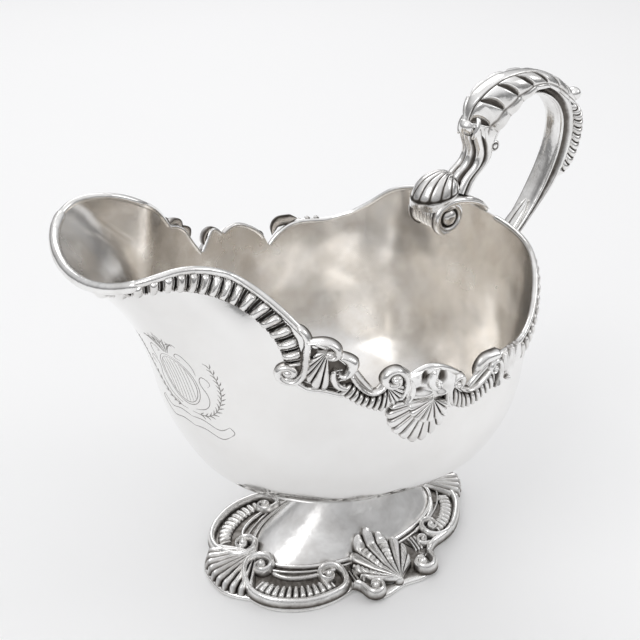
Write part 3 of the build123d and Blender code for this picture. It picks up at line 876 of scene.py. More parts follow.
def engraved_cartouche(cut_silver):
    """Blank cartouche cut under the lip: an oval with scrolls, leaf sprays, a plume and a ribbon."""
    casting = Casting(front_chart())

    def cut(path, wide=0.34):
        stops = [(0, 0.1), (0.15, wide), (0.85, wide), (1, 0.1)]
        casting.strap(path, stops, CUT_HEIGHT, rows=4, spacing=0.7)

    def cut_leaf(path, wide):
        casting.strap(path, [(0, 0.1), (0.45, wide), (1, 0.1)], CUT_HEIGHT, rows=4, spacing=0.5)

    turns = np.linspace(0, 2 * PI, 40)
    for half_wide, half_tall in [(7.4, 9.4), (6.5, 8.5)]:
        cut([(half_wide * math.sin(turn), half_tall * math.cos(turn)) for turn in turns])
    for x in (-4.5, -3, -1.5, 0, 1.5, 3, 4.5):
        reach = 8 * math.sqrt(1 - (x / 6.5) ** 2)
        cut([(x, -reach), (x, 0), (x, reach)], 0.2)

    low_scroll = [(3, -10.4), (8.6, -7.6), (10, -2), (8.8, 2), (10.8, 4.6), (12.6, 2.6), (11.2, 1)]
    high_scroll = [(8.4, 4.4), (8, 9), (4.6, 11.6), (3.4, 9.9), (5, 9.2)]
    ribbon_top = [(0, -14.6), (6, -14.2), (11, -15.6), (15, -13.2)]
    ribbon_bottom = [(0, -18.2), (6, -17.8), (11, -19.2), (15, -16.8)]
    ribbon_end = [(15, -13.2), (16.4, -15), (15, -16.8)]
    stem_points = [(1, -12), (8.4, -11), (13.4, -5.4), (15.8, 2), (15.2, 10)]
    for side in (-1, 1):
        for path in (low_scroll, high_scroll, ribbon_top, ribbon_bottom, ribbon_end, stem_points):
            cut([(side * x, z) for x, z in path])
        stem = Spline([(side * x, z) for x, z in stem_points])
        for share in np.linspace(0.1, 0.97, 14):
            x, z = stem.at(share)
            ahead = stem.at(min(1, share + 0.02)) - stem.at(share - 0.02)
            for turn in (-0.6, 0.6):
                heading = math.atan2(ahead[1], ahead[0]) + turn
                tip = (x + 2.3 * math.cos(heading), z + 2.3 * math.sin(heading))
                middle = ((x + tip[0]) / 2 + 0.3 * side, (z + tip[1]) / 2 + 0.2)
                cut_leaf([(x, z), middle, tip], 0.6)

    for lean in (-4.6, -2.3, 0, 2.3, 4.6):
        root, middle = (0.2 * lean, 10.4), (0.7 * lean, 14)
        top = 18.4 - 0.6 * abs(lean)
        cut_leaf([root, middle, (1.3 * lean, top)], 0.9)
        for side in (-1, 1):
            cut([middle, (1.1 * lean + side, 15.4), (1.3 * lean + 0.6 * side, top - 1)])
    return casting.finish("engraved_cartouche", [], cut_silver)


def lip_rim(silver):
    """Plain wire round the tip of the lip, between the arches."""
    casting = Casting(under_rim)
    reach = angle_at(-86.0)
    round_wire(casting, -reach, reach, 1.7)
    return casting.finish("lip_wire", ["lip_rim"], silver)


# ---------------------------------------------------------------- the foot
FOOT_RUNS = [
    [(-57.5, 0), (-56.8, -6.5), (-54, -11.5), (-50, -15.5)],
    [(-50, -15.5), (-47, -22), (-41, -27.5), (-34, -31), (-25, -32.2), (-16, -31)],
    [(-16, -31), (-12.8, -35), (-10, -39.3), (0, -38.8), (10, -39.5), (14.2, -36), (16, -30.5)],
    [(16, -30.5), (24, -28.2), (32, -26), (40, -20), (45.5, -13)],
    [(45.5, -13), (50.5, -8.5), (54.3, -3.5), (55, 0)],
]
PANEL_LENGTH, PANEL_WIDTH = 38.5, 21.0      # half sizes of the plain domed panel
DOME_LEVELS = [(2, 39.5, 22), (5, 37, 20), (10, 30, 17), (17, 20.5, 13.5), (24, 13.5, 10.7)]
COLLAR_LEVELS = [(24, 13.5, 10.7), (28, 13, 10.2), (32, 15, 11.8), (36.5, 19, 15)]
FOOT_INNER_Z = 4.4                          # the castings' ground beside the panel
FOOT_SLOT = 0.015                           # slots of the foot's gadroons, as a share of a lobe


def panel_share(x, y):
    return np.hypot(x / PANEL_LENGTH, y / PANEL_WIDTH)


DOME = Spline([row[1:] for row in DOME_LEVELS], [row[0] for row in DOME_LEVELS])


def foot_height(x, y):
    """Height of the foot's ground: the castings' slope outside the panel, the dome inside."""
    share = panel_share(x, y)
    slope = FOOT_INNER_Z - 5.0 * np.clip(share - 1, 0, 0.4)
    low, high, levels = DOME_LEVELS[0][0], DOME_LEVELS[-1][0], 60
    sizes = DOME.value(np.linspace(low, high, levels))
    shares = np.hypot(x[..., None] / sizes[:, 0], y[..., None] / sizes[:, 1])
    dome = low + (shares < 1).sum(-1) / levels * (high - low)
    return np.where(share > 1, slope, np.maximum(dome, FOOT_INNER_Z))


def on_foot(side):
    """Plan chart of one side of the foot: x, y of the left side, and height over the ground."""
    def place(x, y, out):
        return np.stack([x, -side * y, foot_height(x, y) + out], axis=-1)
    return place


def foot_ground(casting, runs):
    """The sloping ground of a casting, from the foot's edge up to the panel, hollow under."""
    edge = np.concatenate([Spline(run).at(np.linspace(0, 1, 40)) for run in runs])
    keep = np.concatenate(([True], np.linalg.norm(np.diff(edge, axis=0), axis=1) > 1e-6))
    outline = Spline(edge[keep][::2])

    def place(u, v):
        line = outline.at(u)
        share = panel_share(line[:, 0], line[:, 1])[:, None]
        point = line + (line / share * 0.97 - line) * v[:, None]
        # The ground darkens in from the foot's edge: oxide with painted shade between the castings
        return point[:, 0], point[:, 1], 0 * u, 0.62 * smooth_step(v, 0.02, 0.12)
    casting.sheet(140, 10, place, sunk=-1.2)


def foot_scroll_front(casting):
    """Long C scroll of the front, with gadroons inside it and a volute at each end."""
    foot_ground(casting, [FOOT_RUNS[1]])
    top = [(-47.4, -13.4), (-45, -18.6), (-40.2, -23.8), (-33.8, -27.2), (-27.4, -28.6), (-21.6, -28.2)]
    inner = [(-42.4, -12.2), (-40.4, -15.8), (-36.2, -19.3), (-31.2, -21.9), (-26.2, -23.2), (-22.6, -23.6)]
    casting.gadroons(top, inner, 12, 2.1, slot=FOOT_SLOT)
    strap = [(-38.6, -10.5), (-36.6, -14.4), (-32.4, -17.8), (-26.2, -20.2), (-19, -21.6), (-14, -21.8)]
    casting.strap(strap, rounded(1.5), rounded(1.6))
    scroll = [(-48.6, -9), (-48.8, -15.4), (-46, -21.4), (-40.4, -26.4), (-33.6, -29.8), (-25.2, -31),
              (-19, -29.6), (-16.6, -25.2)]
    width = [(0, 2.8), (0.5, 3.0), (0.8, 2.6), (1, 1.0)]
    height = [(0, 3.4), (0.5, 3.2), (0.9, 3.6), (1, 2.6)]
    casting.volute(scroll, (-21.9, -23.3), (-18.2, -20.4), 1.1, width, height, eye=1.8)
    width = [(0, 2.8), (0.6, 3.0), (1, 1.0)]
    height = [(0, 3.4), (0.6, 4.2), (1, 3.2)]
    casting.volute([(-48.6, -10.4), (-47, -5.6)], (-40.6, -6.8), (-43, -1.8), -1.1, width, height,
                   eye=2.0, tight=0.3)
    for i in range(4):
        x = -14.6 + 1.4 * i
        casting.strap([(x, -31.5), (x + 0.2, -28), (x + 0.3, -24.4)], rounded(1.0), rounded(1.2), rows=5)


def foot_scroll_rear(casting):
    """Scroll of the rear, with gadroons inside it and two small volutes at its front end."""
    foot_ground(casting, [FOOT_RUNS[3]])
    top = [(27.4, -24.6), (32.4, -23), (37, -19.6), (40.8, -15.2), (43, -9.6)]
    inner = [(26.4, -20), (29.8, -18.8), (33.4, -16.2), (36.6, -12.6), (38.4, -8.2)]
    casting.gadroons(top, inner, 10, 2.1, slot=FOOT_SLOT)
    strap = [(18, -20.8), (24, -18.6), (29.5, -15.2), (33.8, -11), (36, -6.8)]
    casting.strap(strap, rounded(1.5), rounded(1.6))
    scroll = [(16.8, -31.4), (20, -28.8), (26, -27.2), (32.2, -25), (39, -19.8), (44, -13.2), (45.6, -7)]
    casting.strap(scroll, rounded(2.8), rounded(3.0))
    casting.volute([(33, -25.4), (28.4, -26.6)], (25.6, -21.2), (22.6, -24.6), -1.0,
                   [(0, 1.6), (0.5, 2.6), (1, 1.0)], rounded(3.4), eye=1.6, tight=0.3)
    casting.volute([(23, -28.8), (19.4, -27.6)], (18.9, -25.3), (16.8, -26.2), -0.9,
                   [(0, 1.2), (0.5, 1.9), (1, 0.8)], rounded(2.6), eye=1.0, tight=0.35)
    for i in range(3):
        x = 13.6 + 1.4 * i
        casting.strap([(x, -28.4), (x + 0.3, -25), (x + 0.2, -22)], rounded(1.0), rounded(1.2), rows=5)


def foot_end_shell(end, run, edge, hinge, ribs, silver):
    """Shell at one end of the foot, across the middle plane."""
    casting = Casting(on_foot(-1))
    mirrored = [(x, -y) for x, y in run[::-1]]
    foot_ground(casting, [mirrored, run] if end == "front" else [run, mirrored])
    casting.fan(hinge, edge + [(x, -y) for x, y in edge[-2::-1]], ribs, 3.6, hinge_height=0.75,
                scallop=0.06, rows=24, ridge=0.95, groove=0.7, per_rib=14)
    node = f"foot_end_shell_{end}"
    return casting.finish(f"{node}_relief", [node], silver)


def foot_side_shell(casting):
    """Shell rising from the edge of the foot on to the panel, between two hooked scrolls."""
    foot_ground(casting, [FOOT_RUNS[2]])
    edge = [(-10.4, -33), (-12.6, -28.2), (-12.2, -22.2), (-8.6, -17.6), (-2.6, -16), (3.4, -18),
            (9.2, -21), (10, -27), (8, -33)]
    casting.fan((-1.0, -38.6), edge, 9, 2.9, hinge_height=0.8, scallop=0.08, lift=0.7, rows=40,
                per_rib=16, ridge=0.5, groove=1.2, pearls=0.2)
    casting.volute([(-16.6, -30.6), (-14.4, -33.6)], (-10.4, -36.2), (-12.8, -38.9), 0.8,
                   [(0, 2.2), (0.5, 2.8), (1, 1.2)], rounded(3.6), eye=2.0, tight=0.4)
    casting.volute([(16.4, -31.6), (16, -35.4)], (11.2, -35.2), (13.2, -38.6), -0.8,
                   [(0, 2.6), (0.5, 3.0), (1, 1.2)], rounded(3.8), eye=2.2, tight=0.4)
    casting.button((-1.0, -37.2), 1.8, 3.2)
    casting.strap([(-8.4, -36.4), (-6.6, -33.6), (-9, -30.6), (-12.6, -29)], rounded(1.4), rounded(2.6))


def oval_ring(name, node, spline, low, high, levels, inset, drop, columns, silver):
    """An oval wall about +Z: its outside by level from a spline, its inside a step in and down."""
    casting = Casting(None)
    outside = [(z, *spline.value(z)) for z in np.linspace(low, high, levels)]
    inside = [(z - drop, length - inset, width - inset) for z, length, width in outside[::-1]]
    rings = len(outside + inside)
    height, length, width = np.array(outside + inside + outside[:1]).T
    verts, share, row = casting.grid(columns, rings)
    turn = 2 * PI * share
    points = np.stack([length[row] * np.cos(turn), width[row] * np.sin(turn), height[row]], axis=-1)
    casting.move(verts, points, 0.0)
    return casting.finish(name, [node], silver)


def foot_dome(silver):
    return oval_ring("foot_panel", "foot_dome", DOME, 2, 24, 40, 1.0, 0.3, 160, silver)


def foot_collar(silver):
    collar = Spline([row[1:] for row in COLLAR_LEVELS], [row[0] for row in COLLAR_LEVELS])
    return oval_ring("foot_neck", "foot_collar", collar, 24, 36.5, 24, 1.2, 0.0, 120, silver)


def foot_moulding(silver):
    """Two reeds round the panel."""
    casting = Casting(on_foot(-1))
    for scale, wide, high in [(1.0, 1.5, 1.3), (1.085, 0.9, 0.9)]:
        length, width = PANEL_LENGTH * scale, PANEL_WIDTH * scale
        points = [(length * math.cos(t), width * math.sin(t)) for t in np.linspace(0, 2 * PI, 33)]
        casting.strap(points, wide, high, spacing=0.8, rows=6)
    return casting.finish("foot_moulding_lines", ["foot_moulding"], silver)


def foot_wire(silver):
    """The edge that the foot stands on: a rounded band all round its outline."""
    casting = Casting(None)
    left = np.concatenate([Spline(run).at(np.linspace(0, 1, 60))[:-1] for run in FOOT_RUNS])
    right = np.stack([left[::-1, 0], -left[::-1, 1]], axis=-1)
    closed = np.concatenate([left, right, left[:1]])
    run = run_along(closed)
    # The band's section: distance in from the outline, height
    section = np.array([(0.0, 0.35), (-0.2, 1.0), (0.0, 1.6), (0.5, 2.0), (1.4, 2.2), (3.0, 2.2),
                        (3.0, 0.3), (0.6, 0.0)])
    verts, share, row = casting.grid(700, len(section))
    x, y = (np.interp(share * run[-1], run, closed[:, i]) for i in (0, 1))
    inset, height = section[row % len(section)].T
    scale = 1 - inset / np.hypot(x, y)
    casting.move(verts, np.stack([x * scale, y * scale, height], axis=-1), 0.0)
    return casting.finish("foot_edge", ["foot_wire"], silver)


# ---------------------------------------------------------------- the handle
CLASP_ROLL = (37.2, 124.2)
CLASP_STRAP = [(36.7, 129.6), (45, 130.2), (51, 127.6), (56.4, 123.2)]
THUMB_SHELL_X = 35.4
THUMB_SHELL_BASE, THUMB_SHELL_RISE = 130.1, 8.3
THUMB_SHELL_LENGTH, THUMB_SHELL_WIDTH = 8.7, 7.9
NECK_FRONT = [(42.5, 131.5), (45.4, 136.4), (48.9, 139.6), (50.3, 144.2), (49, 148.3), (48.2, 152.3)]
NECK_BACK = [(47.5, 129.5), (50, 134), (53.6, 137.8), (57, 142.3), (56.4, 147.4), (54, 153)]
BEAD_CENTRE, BEAD_RADIUS = (48.4, 152.6), 3.2
ARM_OUTER = [(56.6, 92.6), (62, 97), (70, 103), (80, 113.5), (88, 122.5), (93, 130), (95.8, 137), (96.8, 144),
             (96, 150), (92.5, 156.5), (86, 161.5), (78, 165), (70, 166.2), (64, 165.8), (58, 163.7),
             (53, 159.5), (50.5, 151.5)]
ARM_INNER = [(56.6, 98.2), (62, 101.5), (70, 108), (76.3, 115.5), (82, 125), (86, 134), (88.1, 143),
             (87.7, 150), (84.5, 155.8), (79.5, 159.4), (73, 160.8), (67, 159), (62, 154.5), (58.8, 149.5),
             (57.8, 146.5)]
CURL_CENTRE, CURL_RADIUS = (57.4, 145.4), 2.0
LEAF_CREST = [(47, 154.5), (49, 161), (54, 165.3), (60, 167.8), (67, 168.7), (74, 168.3), (82, 166),
              (89, 162), (96.5, 155.5)]
LEAF_EDGE = [(55.4, 145.5), (56.6, 149.6), (59.4, 153.6), (63.8, 157.7), (69.1, 161.2),
             (76.2, 162.9), (83.9, 160.5), (89.5, 157), (95.5, 153)]
LEAF_TOP_LINE, LEAF_EDGE_LINE = Spline(LEAF_CREST), Spline(LEAF_EDGE)
LEAF_LOBES = 7.5
# Half width of the leaf by its place along the handle
LEAF_PLAN = [(46, 3.8), (50, 6.4), (56, 6.9), (66, 6.6), (78, 5.4), (90, 3.8), (98, 1.6)]
KNOB_CENTRE, KNOB_RADIUS = (96.6, 156.4), 2.4
CORD_CREST = [(95.6, 155.2), (98.8, 151.8), (100.6, 146), (100.2, 138.5), (97.6, 131), (93.5, 125)]
TAIL_LEAF_CREST = [(64, 103), (69, 109.5), (74, 115.5), (79, 120)]

# Sections as (share of the way from the inner to the outer line, distance from the middle plane,
# depth in a recess, painted dark as oxide and painted shade), from the middle of the inner face round one
# side to the middle of the back
ARM_SECTION = [(0.09, 0, 0), (0.05, 1.8, 0), (-0.01, 3.5, 0), (0.03, 4.25, 0), (0.12, 4.3, 0.1),
               (0.17, 3.3, 0.6), (0.28, 2.3, 0.72), (0.44, 2.2, 0.72), (0.56, 2.7, 0.6), (0.66, 3.5, 0.15),
               (0.82, 3.2, 0), (0.95, 2.0, 0), (1.0, 0, 0)]
NECK_SECTION = [(-0.22, 0, 0), (-0.16, 0.9, 0), (0.1, 1.7, 0.9), (0.12, 2.4, 0.8), (-0.06, 3.3, 0),
                (-0.06, 4.1, 0), (0.12, 4.9, 0), (0.3, 4.7, 0.7), (0.42, 4.1, 1), (0.55, 4.7, 0.3),
                (0.75, 4.7, 0), (1.0, 3.2, 0), (1.02, 0, 0)]


def limb(name, node, inner, outer, section, widths, columns, silver):
    """A limb of the handle between two lines of its middle plane, with a shaped section."""
    casting = Casting(None)
    inner, outer = Spline(inner), Spline(outer)
    half = np.array(section, float)
    thickness = 6                              # usual distance between the two lines
    profile = Spline(half, run_along(half[:, :2] * (thickness, 1)))

    def place(u, v):
        across, wide, depth = np.moveaxis(profile.at(1 - np.abs(1 - 2 * v)), -1, 0)
        low, high = inner.at(u), outer.at(u)
        x, z = (low + (high - low) * across[:, None]).T
        y = np.where(v < 0.5, 1, -1) * np.maximum(wide, 0) * ramp(u, widths)
        return np.stack([x, y, z], axis=-1), np.clip(depth, 0, 1)
    casting.tube(columns, 72, place)
    return casting.finish(name, [node], silver)


def handle_arm(silver):
    widths = [(0, 0.8), (0.12, 0.9), (0.35, 1.0), (1, 1.0)]
    return limb("handle_scroll_arm", "handle_arm", ARM_INNER, ARM_OUTER, ARM_SECTION, widths, 300, silver)


def handle_neck(silver):
    widths = [(0, 1.15), (0.25, 1.06), (0.7, 1.0), (1, 1.05)]
    return limb("handle_neck_strap", "handle_neck", NECK_FRONT, NECK_BACK, NECK_SECTION, widths, 90, silver)


def turned_across(casting, centre, profile, columns=32):
    """A form turned about a line across the handle: profile is (y, radius, depth)."""
    profile = np.array(profile, float)
    verts, share, row = casting.grid(columns, len(profile) - 1)
    y, radius, depth = profile[row].T
    turn = 2 * PI * share
    x = centre[0] + radius * np.cos(turn)
    z = centre[1] + radius * np.sin(turn)
    casting.move(verts, np.stack([x, y, z], axis=-1), depth)


def both_ends(profile):
    """A turned profile from one end to the middle, carried on to the other end."""
    return profile + [(-y, radius, depth) for y, radius, depth in profile[::-1] if y]


def power_of(value, power):
    """A power that keeps the sign: it squares off the sides of an oval."""
    return np.sign(value) * np.abs(value) ** power


def clasp_cheek(side):
    """Chart of a side of the clasp: x, z and distance off it."""
    return lambda x, z, out: np.stack([x, side * (6.3 + out), z], axis=-1)


def handle_clasp(silver):
    """Strap that rolls over the rim, with a ribbed roll, turned eyes and a comma on each side."""
    casting = Casting(None)
    half_ribs, ribs, rib_low, rib_rise = 6.1, 6, 4.7, 1.4
    # Profiles give y, radius and how dark the recess is painted: oxide with painted shade
    eye = [(8.0, 0, 0), (7.9, 1.2, 0), (7.5, 2.1, 0), (7.0, 2.6, 0.3), (6.5, 2.9, 1), (6.4, 3.4, 1),
           (6.8, 3.8, 0.4), (7.2, 4.3, 0), (7.2, 5.0, 0), (6.9, 5.5, 0), (6.5, 5.75, 0.1), (6.2, 5.6, 0.8)]
    roll = []
    for y in np.linspace(half_ribs, -half_ribs, 90):
        swell = abs(math.cos(y / half_ribs * PI * ribs / 2)) ** 0.8
        depth = min(1, 1.1 - 1.3 * swell) if swell < 0.85 else 0
        roll.append((y, rib_low + rib_rise * swell, max(0, depth)))
    far_eye = [(-y, radius, depth) for y, radius, depth in eye[::-1]]
    turned_across(casting, CLASP_ROLL, eye + roll + far_eye, columns=90)
    strap = Spline(CLASP_STRAP)

    def place(u, v):
        x, z = strap.at(u).T
        swing = 2 * PI * v
        across, rise = power_of(np.cos(swing), 0.45), power_of(np.sin(swing), 0.6)
        edge, on_top = np.abs(across), rise > 0
        lines = 0.45 * line_of(edge - 0.93, 0.05) - 0.45 * line_of(edge - 0.8, 0.05)
        # The sunk line along the top is darkened: oxide with painted shade
        depth = np.clip(1.2 * line_of(edge - 0.8, 0.06), 0, 1) * on_top
        wide = ramp(u, [(0, 7.0), (0.45, 7.6), (0.75, 6.8), (1, 4.5)])
        return np.stack([x, wide * across, z - 1.1 + 1.1 * rise + lines * on_top], axis=-1), depth
    casting.tube(60, 96, place)
    comma = [(55, 123.4), (51, 126.4), (46, 128.6), (40.6, 129.8), (35.4, 129.3), (32, 126.6),
             (31.6, 122.4), (34.2, 119.4), (38.4, 119.2)]
    comma_width = [(0, 0), (0.15, 1.6), (0.45, 3.0), (0.7, 2.8), (0.9, 2.0), (1, 0)]
    comma_height = [(0, 0.8), (0.3, 1.8), (0.9, 2.1), (1, 0.5)]
    for side in (-1, 1):
        casting.strap(comma, comma_width, comma_height, chart=clasp_cheek(side))
    return casting.finish("handle_clasp_roll", ["handle_clasp", "clasp_buttons"], silver)


def thumb_shell(silver):
    """Domed shell on the clasp: ribs spread from the neck to a plain hem."""
    casting = Casting(lambda x, y, z: np.stack([x, y, z], axis=-1))
    hinge_x, ribs, spread, lean = 43.4, 11, math.radians(152), 0.26

    def place(u, v):
        swing = (2 * u - 1) * spread
        swell = round_end(2 * np.mod(u * ribs, 1.0) - 1)
        share = np.sin(v * PI / 2) ** 1.2
        x = hinge_x + (THUMB_SHELL_X - THUMB_SHELL_LENGTH * np.cos(swing) - hinge_x) * share
        y = THUMB_SHELL_WIDTH * np.sin(swing) * share
        away = np.hypot((x - THUMB_SHELL_X) / THUMB_SHELL_LENGTH, y / THUMB_SHELL_WIDTH)
        dome = THUMB_SHELL_RISE * np.clip(1 - np.clip(away, 0, 1) ** 2.6, 0, 1) ** 0.55
        carve = (1 - swell) * smooth_step(v, 0.05, 0.25) * (1 - smooth_step(v, 0.86, 0.93))
        hem = 0.4 * line_of(v - 0.95, 0.03)
        # Grooves and the line inside the hem are darkened: oxide with painted shade
        depth = np.clip(1.3 * carve + 0.9 * line_of(v - 0.88, 0.03), 0, 1)
        tilt = lean * (x - THUMB_SHELL_X)
        return x, y, THUMB_SHELL_BASE + tilt + dome * (1 - 0.09 * carve) + hem, depth
    casting.sheet(ribs * 12, 44, place, pole=True, sunk=THUMB_SHELL_BASE - 2.6)
    return casting.finish("handle_thumb_shell", ["thumb_shell"], silver)


def leaf_surface(u, v):
    """The leaf cap's surface: points, the way out, relief and depth; v runs from -1 to 1 over it."""
    side, out = np.sign(v), np.abs(v)
    top, low = LEAF_TOP_LINE.at(u), LEAF_EDGE_LINE.at(u)
    rib = ramp(u, [(0, 0.2), (0.15, 0.27), (0.6, 0.24), (1, 0.1)])
    beyond = np.clip((out - rib) / (1 - rib), 0, 1)
    phase = np.mod(u * LEAF_LOBES - 0.75 * beyond + 0.45, 1.0)
    from_slot = np.abs(phase - 0.5)
    slot = 0.2 * round_end((beyond - 0.43) / 0.36)
    cut = np.clip(1 - (from_slot / (slot + 1e-6)) ** 2, 0, 1) * (beyond > 0)
    seam = line_of(out - rib, 0.035)
    dip = line_of(from_slot, 0.05) * smooth_step(beyond, 0.8, 1.0)
    midrib = 0.5 * np.clip(1 - (out / rib) ** 2, 0, 1)
    lobe = 0.45 * round_end((from_slot - 0.5) / 0.42) * smooth_step(beyond, 0.0, 0.2)
    hem, under_hem = line_of(out - 0.95, 0.035), line_of(out - 0.87, 0.025)
    relief = midrib + lobe - 0.9 * cut - 0.55 * seam - 0.25 * dip + 0.3 * hem - 0.3 * under_hem
    # Slots, seam, dips and the line under the hem are darkened: oxide with painted shade
    depth = np.clip(0.85 * cut + 0.8 * seam + 0.5 * dip + 0.6 * under_hem, 0, 1)
    scallop = 1 + 0.018 * np.cos(2 * PI * phase) * smooth_step(out, 0.75, 1.0)
    swing = out * PI / 2
    drop = (1 - np.cos(swing)) ** 1.75 * scallop
    x, z = (top + (low - top) * drop[:, None]).T
    y = side * ramp(top[:, 0], LEAF_PLAN) * np.sin(swing) * scallop
    out_x, out_z = (unit(top - low) * np.cos(swing)[:, None]).T
    outward = np.stack([out_x, side * np.sin(swing), out_z], axis=-1)
    return np.stack([x, y, z], axis=-1), outward, relief, depth


def handle_leaf(silver):
    """Leaf that caps the top of the handle: plain midrib, slanted lobes parted by slots."""
    casting = Casting(None)
    front_share = 0.8                          # of the way round its section; the rest is behind

    def place(u, v):
        front = v < front_share
        behind = (v - front_share) / (1 - front_share)
        across = np.where(front, v / front_share * 2 - 1, 1 - behind * 2)
        spot, outward, relief, depth = leaf_surface(u, across)
        tuck = np.clip(1 - np.abs(across) ** 12, 0, 1)
        height = np.where(front, relief * tuck, -0.9 * tuck)
        # Its back, tucked under, is fully dark: painted shade under the leaf, with oxide
        return spot + outward * height[:, None], np.where(front, depth, 1.0)
    casting.tube(260, 120, place)
    return casting.finish("handle_leaf_cap", ["handle_leaf"], silver)


def handle_bead(silver):
    """Drop bead in its cup at the head of the neck."""
    casting = Casting(None)
    middle_x, middle_z = BEAD_CENTRE

    def ball(u, v):
        turn, radius = 2 * PI * v, BEAD_RADIUS * np.sin(PI * u)
        y = 0.95 * radius * np.cos(turn)
        x = middle_x - BEAD_RADIUS * np.cos(PI * u)
        return np.stack([x, y, middle_z + radius * np.sin(turn)], axis=-1), 0.0
    casting.tube(24, 36, ball)
    hood = Spline([(-3.6, -3.4), (-4.4, 0.2), (-3.3, 3.1), (0, 4.5), (3.3, 3.1), (4.4, 0.2), (3.6, -3.4)])

    def hood_wire(u, v):
        y, z = hood.at(u).T
        swing = 2 * PI * v
        thick = 0.95 * round_end(2 * u - 1, 10)
        scale = 1 + thick * np.cos(swing) / 5
        x = middle_x + 0.3 + 0.35 * z + thick * np.sin(swing)
        return np.stack([x, y * scale, middle_z + z * scale], axis=-1), 0.0
    casting.tube(60, 14, hood_wire)
    return casting.finish("handle_drop_bead", ["handle_bead"], silver)


def handle_curl(silver):
    """Small roll across the inside of the arm, where it meets the neck."""
    casting = Casting(None)
    # The third column darkens the groove: oxide with painted shade
    end = [(4.6, 0, 0), (4.6, 0.7, 0), (4.35, 1.0, 0.9), (4.35, 1.2, 0.9), (4.5, 1.5, 0),
           (4.2, 1.95, 0), (3.6, CURL_RADIUS, 0), (0, CURL_RADIUS - 0.15, 0)]
    turned_across(casting, CURL_CENTRE, both_ends(end))
    return casting.finish("handle_inner_curl", ["handle_curl"], silver)


def handle_knob(silver):
    """Knob behind the tip of the leaf."""
    casting = Casting(None)
    tilts = np.linspace(0, PI, 15)
    profile = [(2.6 * math.cos(tilt), KNOB_RADIUS * math.sin(tilt) ** 0.8, 0.0) for tilt in tilts]
    turned_across(casting, KNOB_CENTRE, profile)
    return casting.finish("handle_leaf_knob", ["handle_knob"], silver)


def beside(line, u, step):
    """The way to the left of a line of the middle plane, at shares of the way along it."""
    ahead = unit(line.at(np.clip(u + step, 0, 1)) - line.at(np.clip(u - step, 0, 1)))
    return np.stack([-ahead[:, 1], ahead[:, 0]], axis=-1)


def handle_cord(silver):
    """Roped back of the arm: strands that run slantwise round it."""
    casting = Casting(None)
    crest, strands, radius, strand_cut = Spline(CORD_CREST), 11, 2.8, 0.7

    def place(u, v):
        out = beside(crest, u, 0.01)
        out *= np.where(out[:, :1] < 0, -1, 1)
        swing = 2 * PI * v
        strand = np.abs(np.sin(PI * (u * strands + 1.1 * np.cos(swing))))
        reach = (radius - strand_cut * (1 - strand ** 0.6)) * round_end(2 * u - 1, 6)
        x, z = (crest.at(u) + out * (reach * np.sin(swing) - 2.4)[:, None]).T
        # Dark between the strands: oxide with painted shade
        depth = np.clip(1.15 - 1.9 * strand, 0, 1)
        return np.stack([x, reach * 1.42 * np.cos(swing), z], axis=-1), depth
    casting.tube(200, 32, place)
    return casting.finish("handle_roped_back", ["handle_cord"], silver)


def tail_leaf(silver):
    """Narrow leaf on the inside of the arm's tail, with a sunk vein."""
    casting = Casting(None)
    crest = Spline(TAIL_LEAF_CREST)

    def place(u, v):
        swing = 2 * PI * v
        swell = np.sin(PI * np.clip(u, 0, 1)) ** 0.6
        over = np.sin(swing) > 0
        vein = line_of(np.cos(swing), 0.12) * over
        rise = np.where(over, np.sin(swing) * 0.9 - 0.45 * vein, np.sin(swing) * 2.2)
        x, z = (crest.at(u) + beside(crest, u, 0.02) * ((rise - 0.9) * swell)[:, None]).T
        # The vein is darkened: oxide with painted shade
        return np.stack([x, 3.2 * swell * np.cos(swing), z], axis=-1), 0.9 * vein
    casting.tube(50, 36, place)
    return casting.finish("handle_tail_leaf", ["tail_leaf"], silver)


# ---------------------------------------------------------------- the setting
FLOOR_SIZE = 3.0
FLOOR_COLOURS = (0.93, 0.93, 0.93), (0.95, 0.95, 0.95)
STUDIO_STRENGTH = 0.95
STUDIO_STOPS = [(0.0, 0.6), (0.55, 0.24), (0.70, 0.66), (1.0, 1.05)]     # from below to overhead
LIGHT_AIM = (0, 0, 0.08)
# Name, place, size in metres, power in watts
LIGHTS = [("key_light", (-0.9, -0.3, 1.1), 0.7, 3.2), ("fill_light", (0.9, -0.6, 0.8), 0.5, 1.2),
          ("back_light", (0.3, 0.9, 0.9), 0.7, 2.0)]
LENS, SENSOR_WIDTH = 59.06, 36.0
CAMERA_PLACE = (-0.1776, -0.2629, 0.2672)
CAMERA_TILT, CAMERA_TURN = 61.1, -32.36                                  # degrees


def make_floor():
    builder = bmesh.new()
    bmesh.ops.create_grid(builder, x_segments=1, y_segments=1, size=FLOOR_SIZE)
    mesh = bpy.data.meshes.new("floor")
    builder.to_mesh(mesh)
    builder.free()
    pale = Finish("pale_floor")
    mesh.materials.append(pale.surface(pale.mix(pale.noise(3.0), *FLOOR_COLOURS), 0.7, metallic=0.0))
    floor = add_object("floor", mesh)


def make_studio():
    """White surroundings, darker about the horizon, and three soft lights."""
    world = bpy.data.worlds.new("studio")
    bpy.context.scene.world = world
    studio = Nodes(world)
    place = studio.add("ShaderNodeTexCoord", output="Generated")
    height = studio.add("ShaderNodeSeparateXYZ", {}, {0: place}, output=2)
    stops = [(position, (value, value, 1.01 * value)) for position, value in STUDIO_STOPS]
    shade = studio.ramp(height * 0.5 + 0.5, stops)
    sky = studio.add("ShaderNodeBackground", {}, {"Color": shade, "Strength": STUDIO_STRENGTH})
    studio.add("ShaderNodeOutputWorld", {}, {"Surface": sky}, output=None)
    for name, place_at, size, power in LIGHTS:
        light = bpy.data.lights.new(name, "AREA")
        light.shape = "SQUARE"
        light.size = size
        light.energy = power
        lamp = add_object(name, light)
        lamp.location = place_at
        aim = Vector(LIGHT_AIM) - Vector(place_at)
        lamp.rotation_euler = aim.to_track_quat("-Z", "Y").to_euler()
    bpy.context.scene.view_settings.view_transform = "Standard"


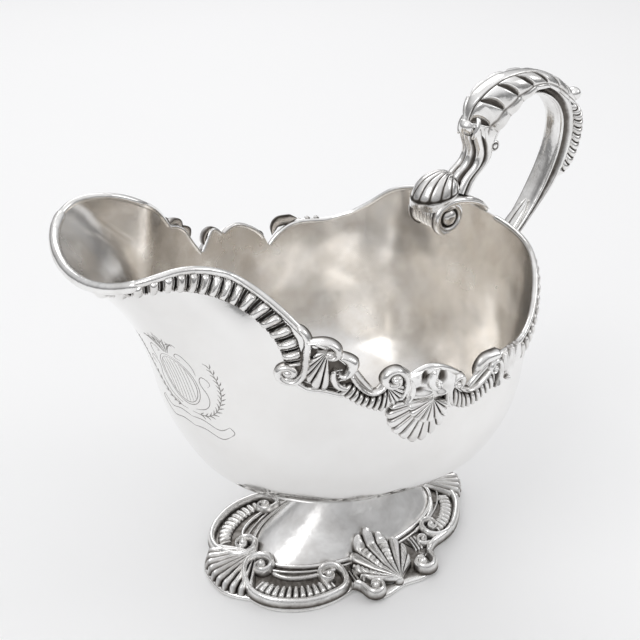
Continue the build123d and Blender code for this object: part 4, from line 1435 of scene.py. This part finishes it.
def make_camera():
    lens = bpy.data.cameras.new("camera")
    lens.lens = LENS
    lens.sensor_width = SENSOR_WIDTH
    camera = add_object("camera", lens)
    camera.location = CAMERA_PLACE
    camera.rotation_euler = (math.radians(CAMERA_TILT), 0, math.radians(CAMERA_TURN))
    bpy.context.scene.camera = camera


# ---------------------------------------------------------------- making everything
BORDER_PARTS = (arch_gadroons, corner_shell, front_festoon, scroll_curl, crest_leaf, side_shell,
                rear_festoon, rear_leaf, rear_gadroons)
FOOT_PARTS = (foot_scroll_front, foot_scroll_rear, foot_side_shell)
HANDLE_PARTS = (handle_arm, handle_neck, handle_clasp, thumb_shell, handle_leaf, handle_bead,
                handle_curl, handle_knob, handle_cord, tail_leaf)


def cast_pair_member(part, label, chart, silver):
    """One casting of a mirrored pair; its CAD node has the function's name and the label."""
    casting = Casting(chart)
    part(casting)
    node = f"{part.__name__}_{label}"
    casting.finish(f"{node}_relief", [node], silver)


make_camera()
make_floor()
make_studio()
border_silver = cast_silver("border_cast_silver")
foot_silver = cast_silver("foot_cast_silver", roughness=0.22)
panel_silver = cast_silver("foot_panel_silver", roughness=0.3)
handle_silver = cast_silver("handle_cast_silver")
make_bowl(polished_silver(), used_silver())
lip_rim(border_silver)
engraved_cartouche(engraved_lines())
for label, side in (("left", -1), ("right", 1)):
    for part in BORDER_PARTS:
        chart = round_rim(side) if part is rear_gadroons else on_side(side)
        cast_pair_member(part, label, chart, border_silver)
    for part in FOOT_PARTS:
        cast_pair_member(part, label, on_foot(side), foot_silver)
foot_end_shell("front", FOOT_RUNS[0], [(-48.6, 16.4), (-53.4, 12), (-56.6, 6.4), (-57.5, 0)],
               (-38.6, 0), 11, foot_silver)
foot_end_shell("rear", FOOT_RUNS[4], [(45, -14), (50, -9.6), (53.9, -4.6), (55, 0)],
               (37.4, 0), 10, foot_silver)
foot_dome(panel_silver)
foot_moulding(foot_silver)
foot_collar(foot_silver)
foot_wire(foot_silver)
for part in HANDLE_PARTS:
    part(handle_silver)
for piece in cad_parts.values():
    piece.data.materials.clear()
    piece.data.materials.append(border_silver)
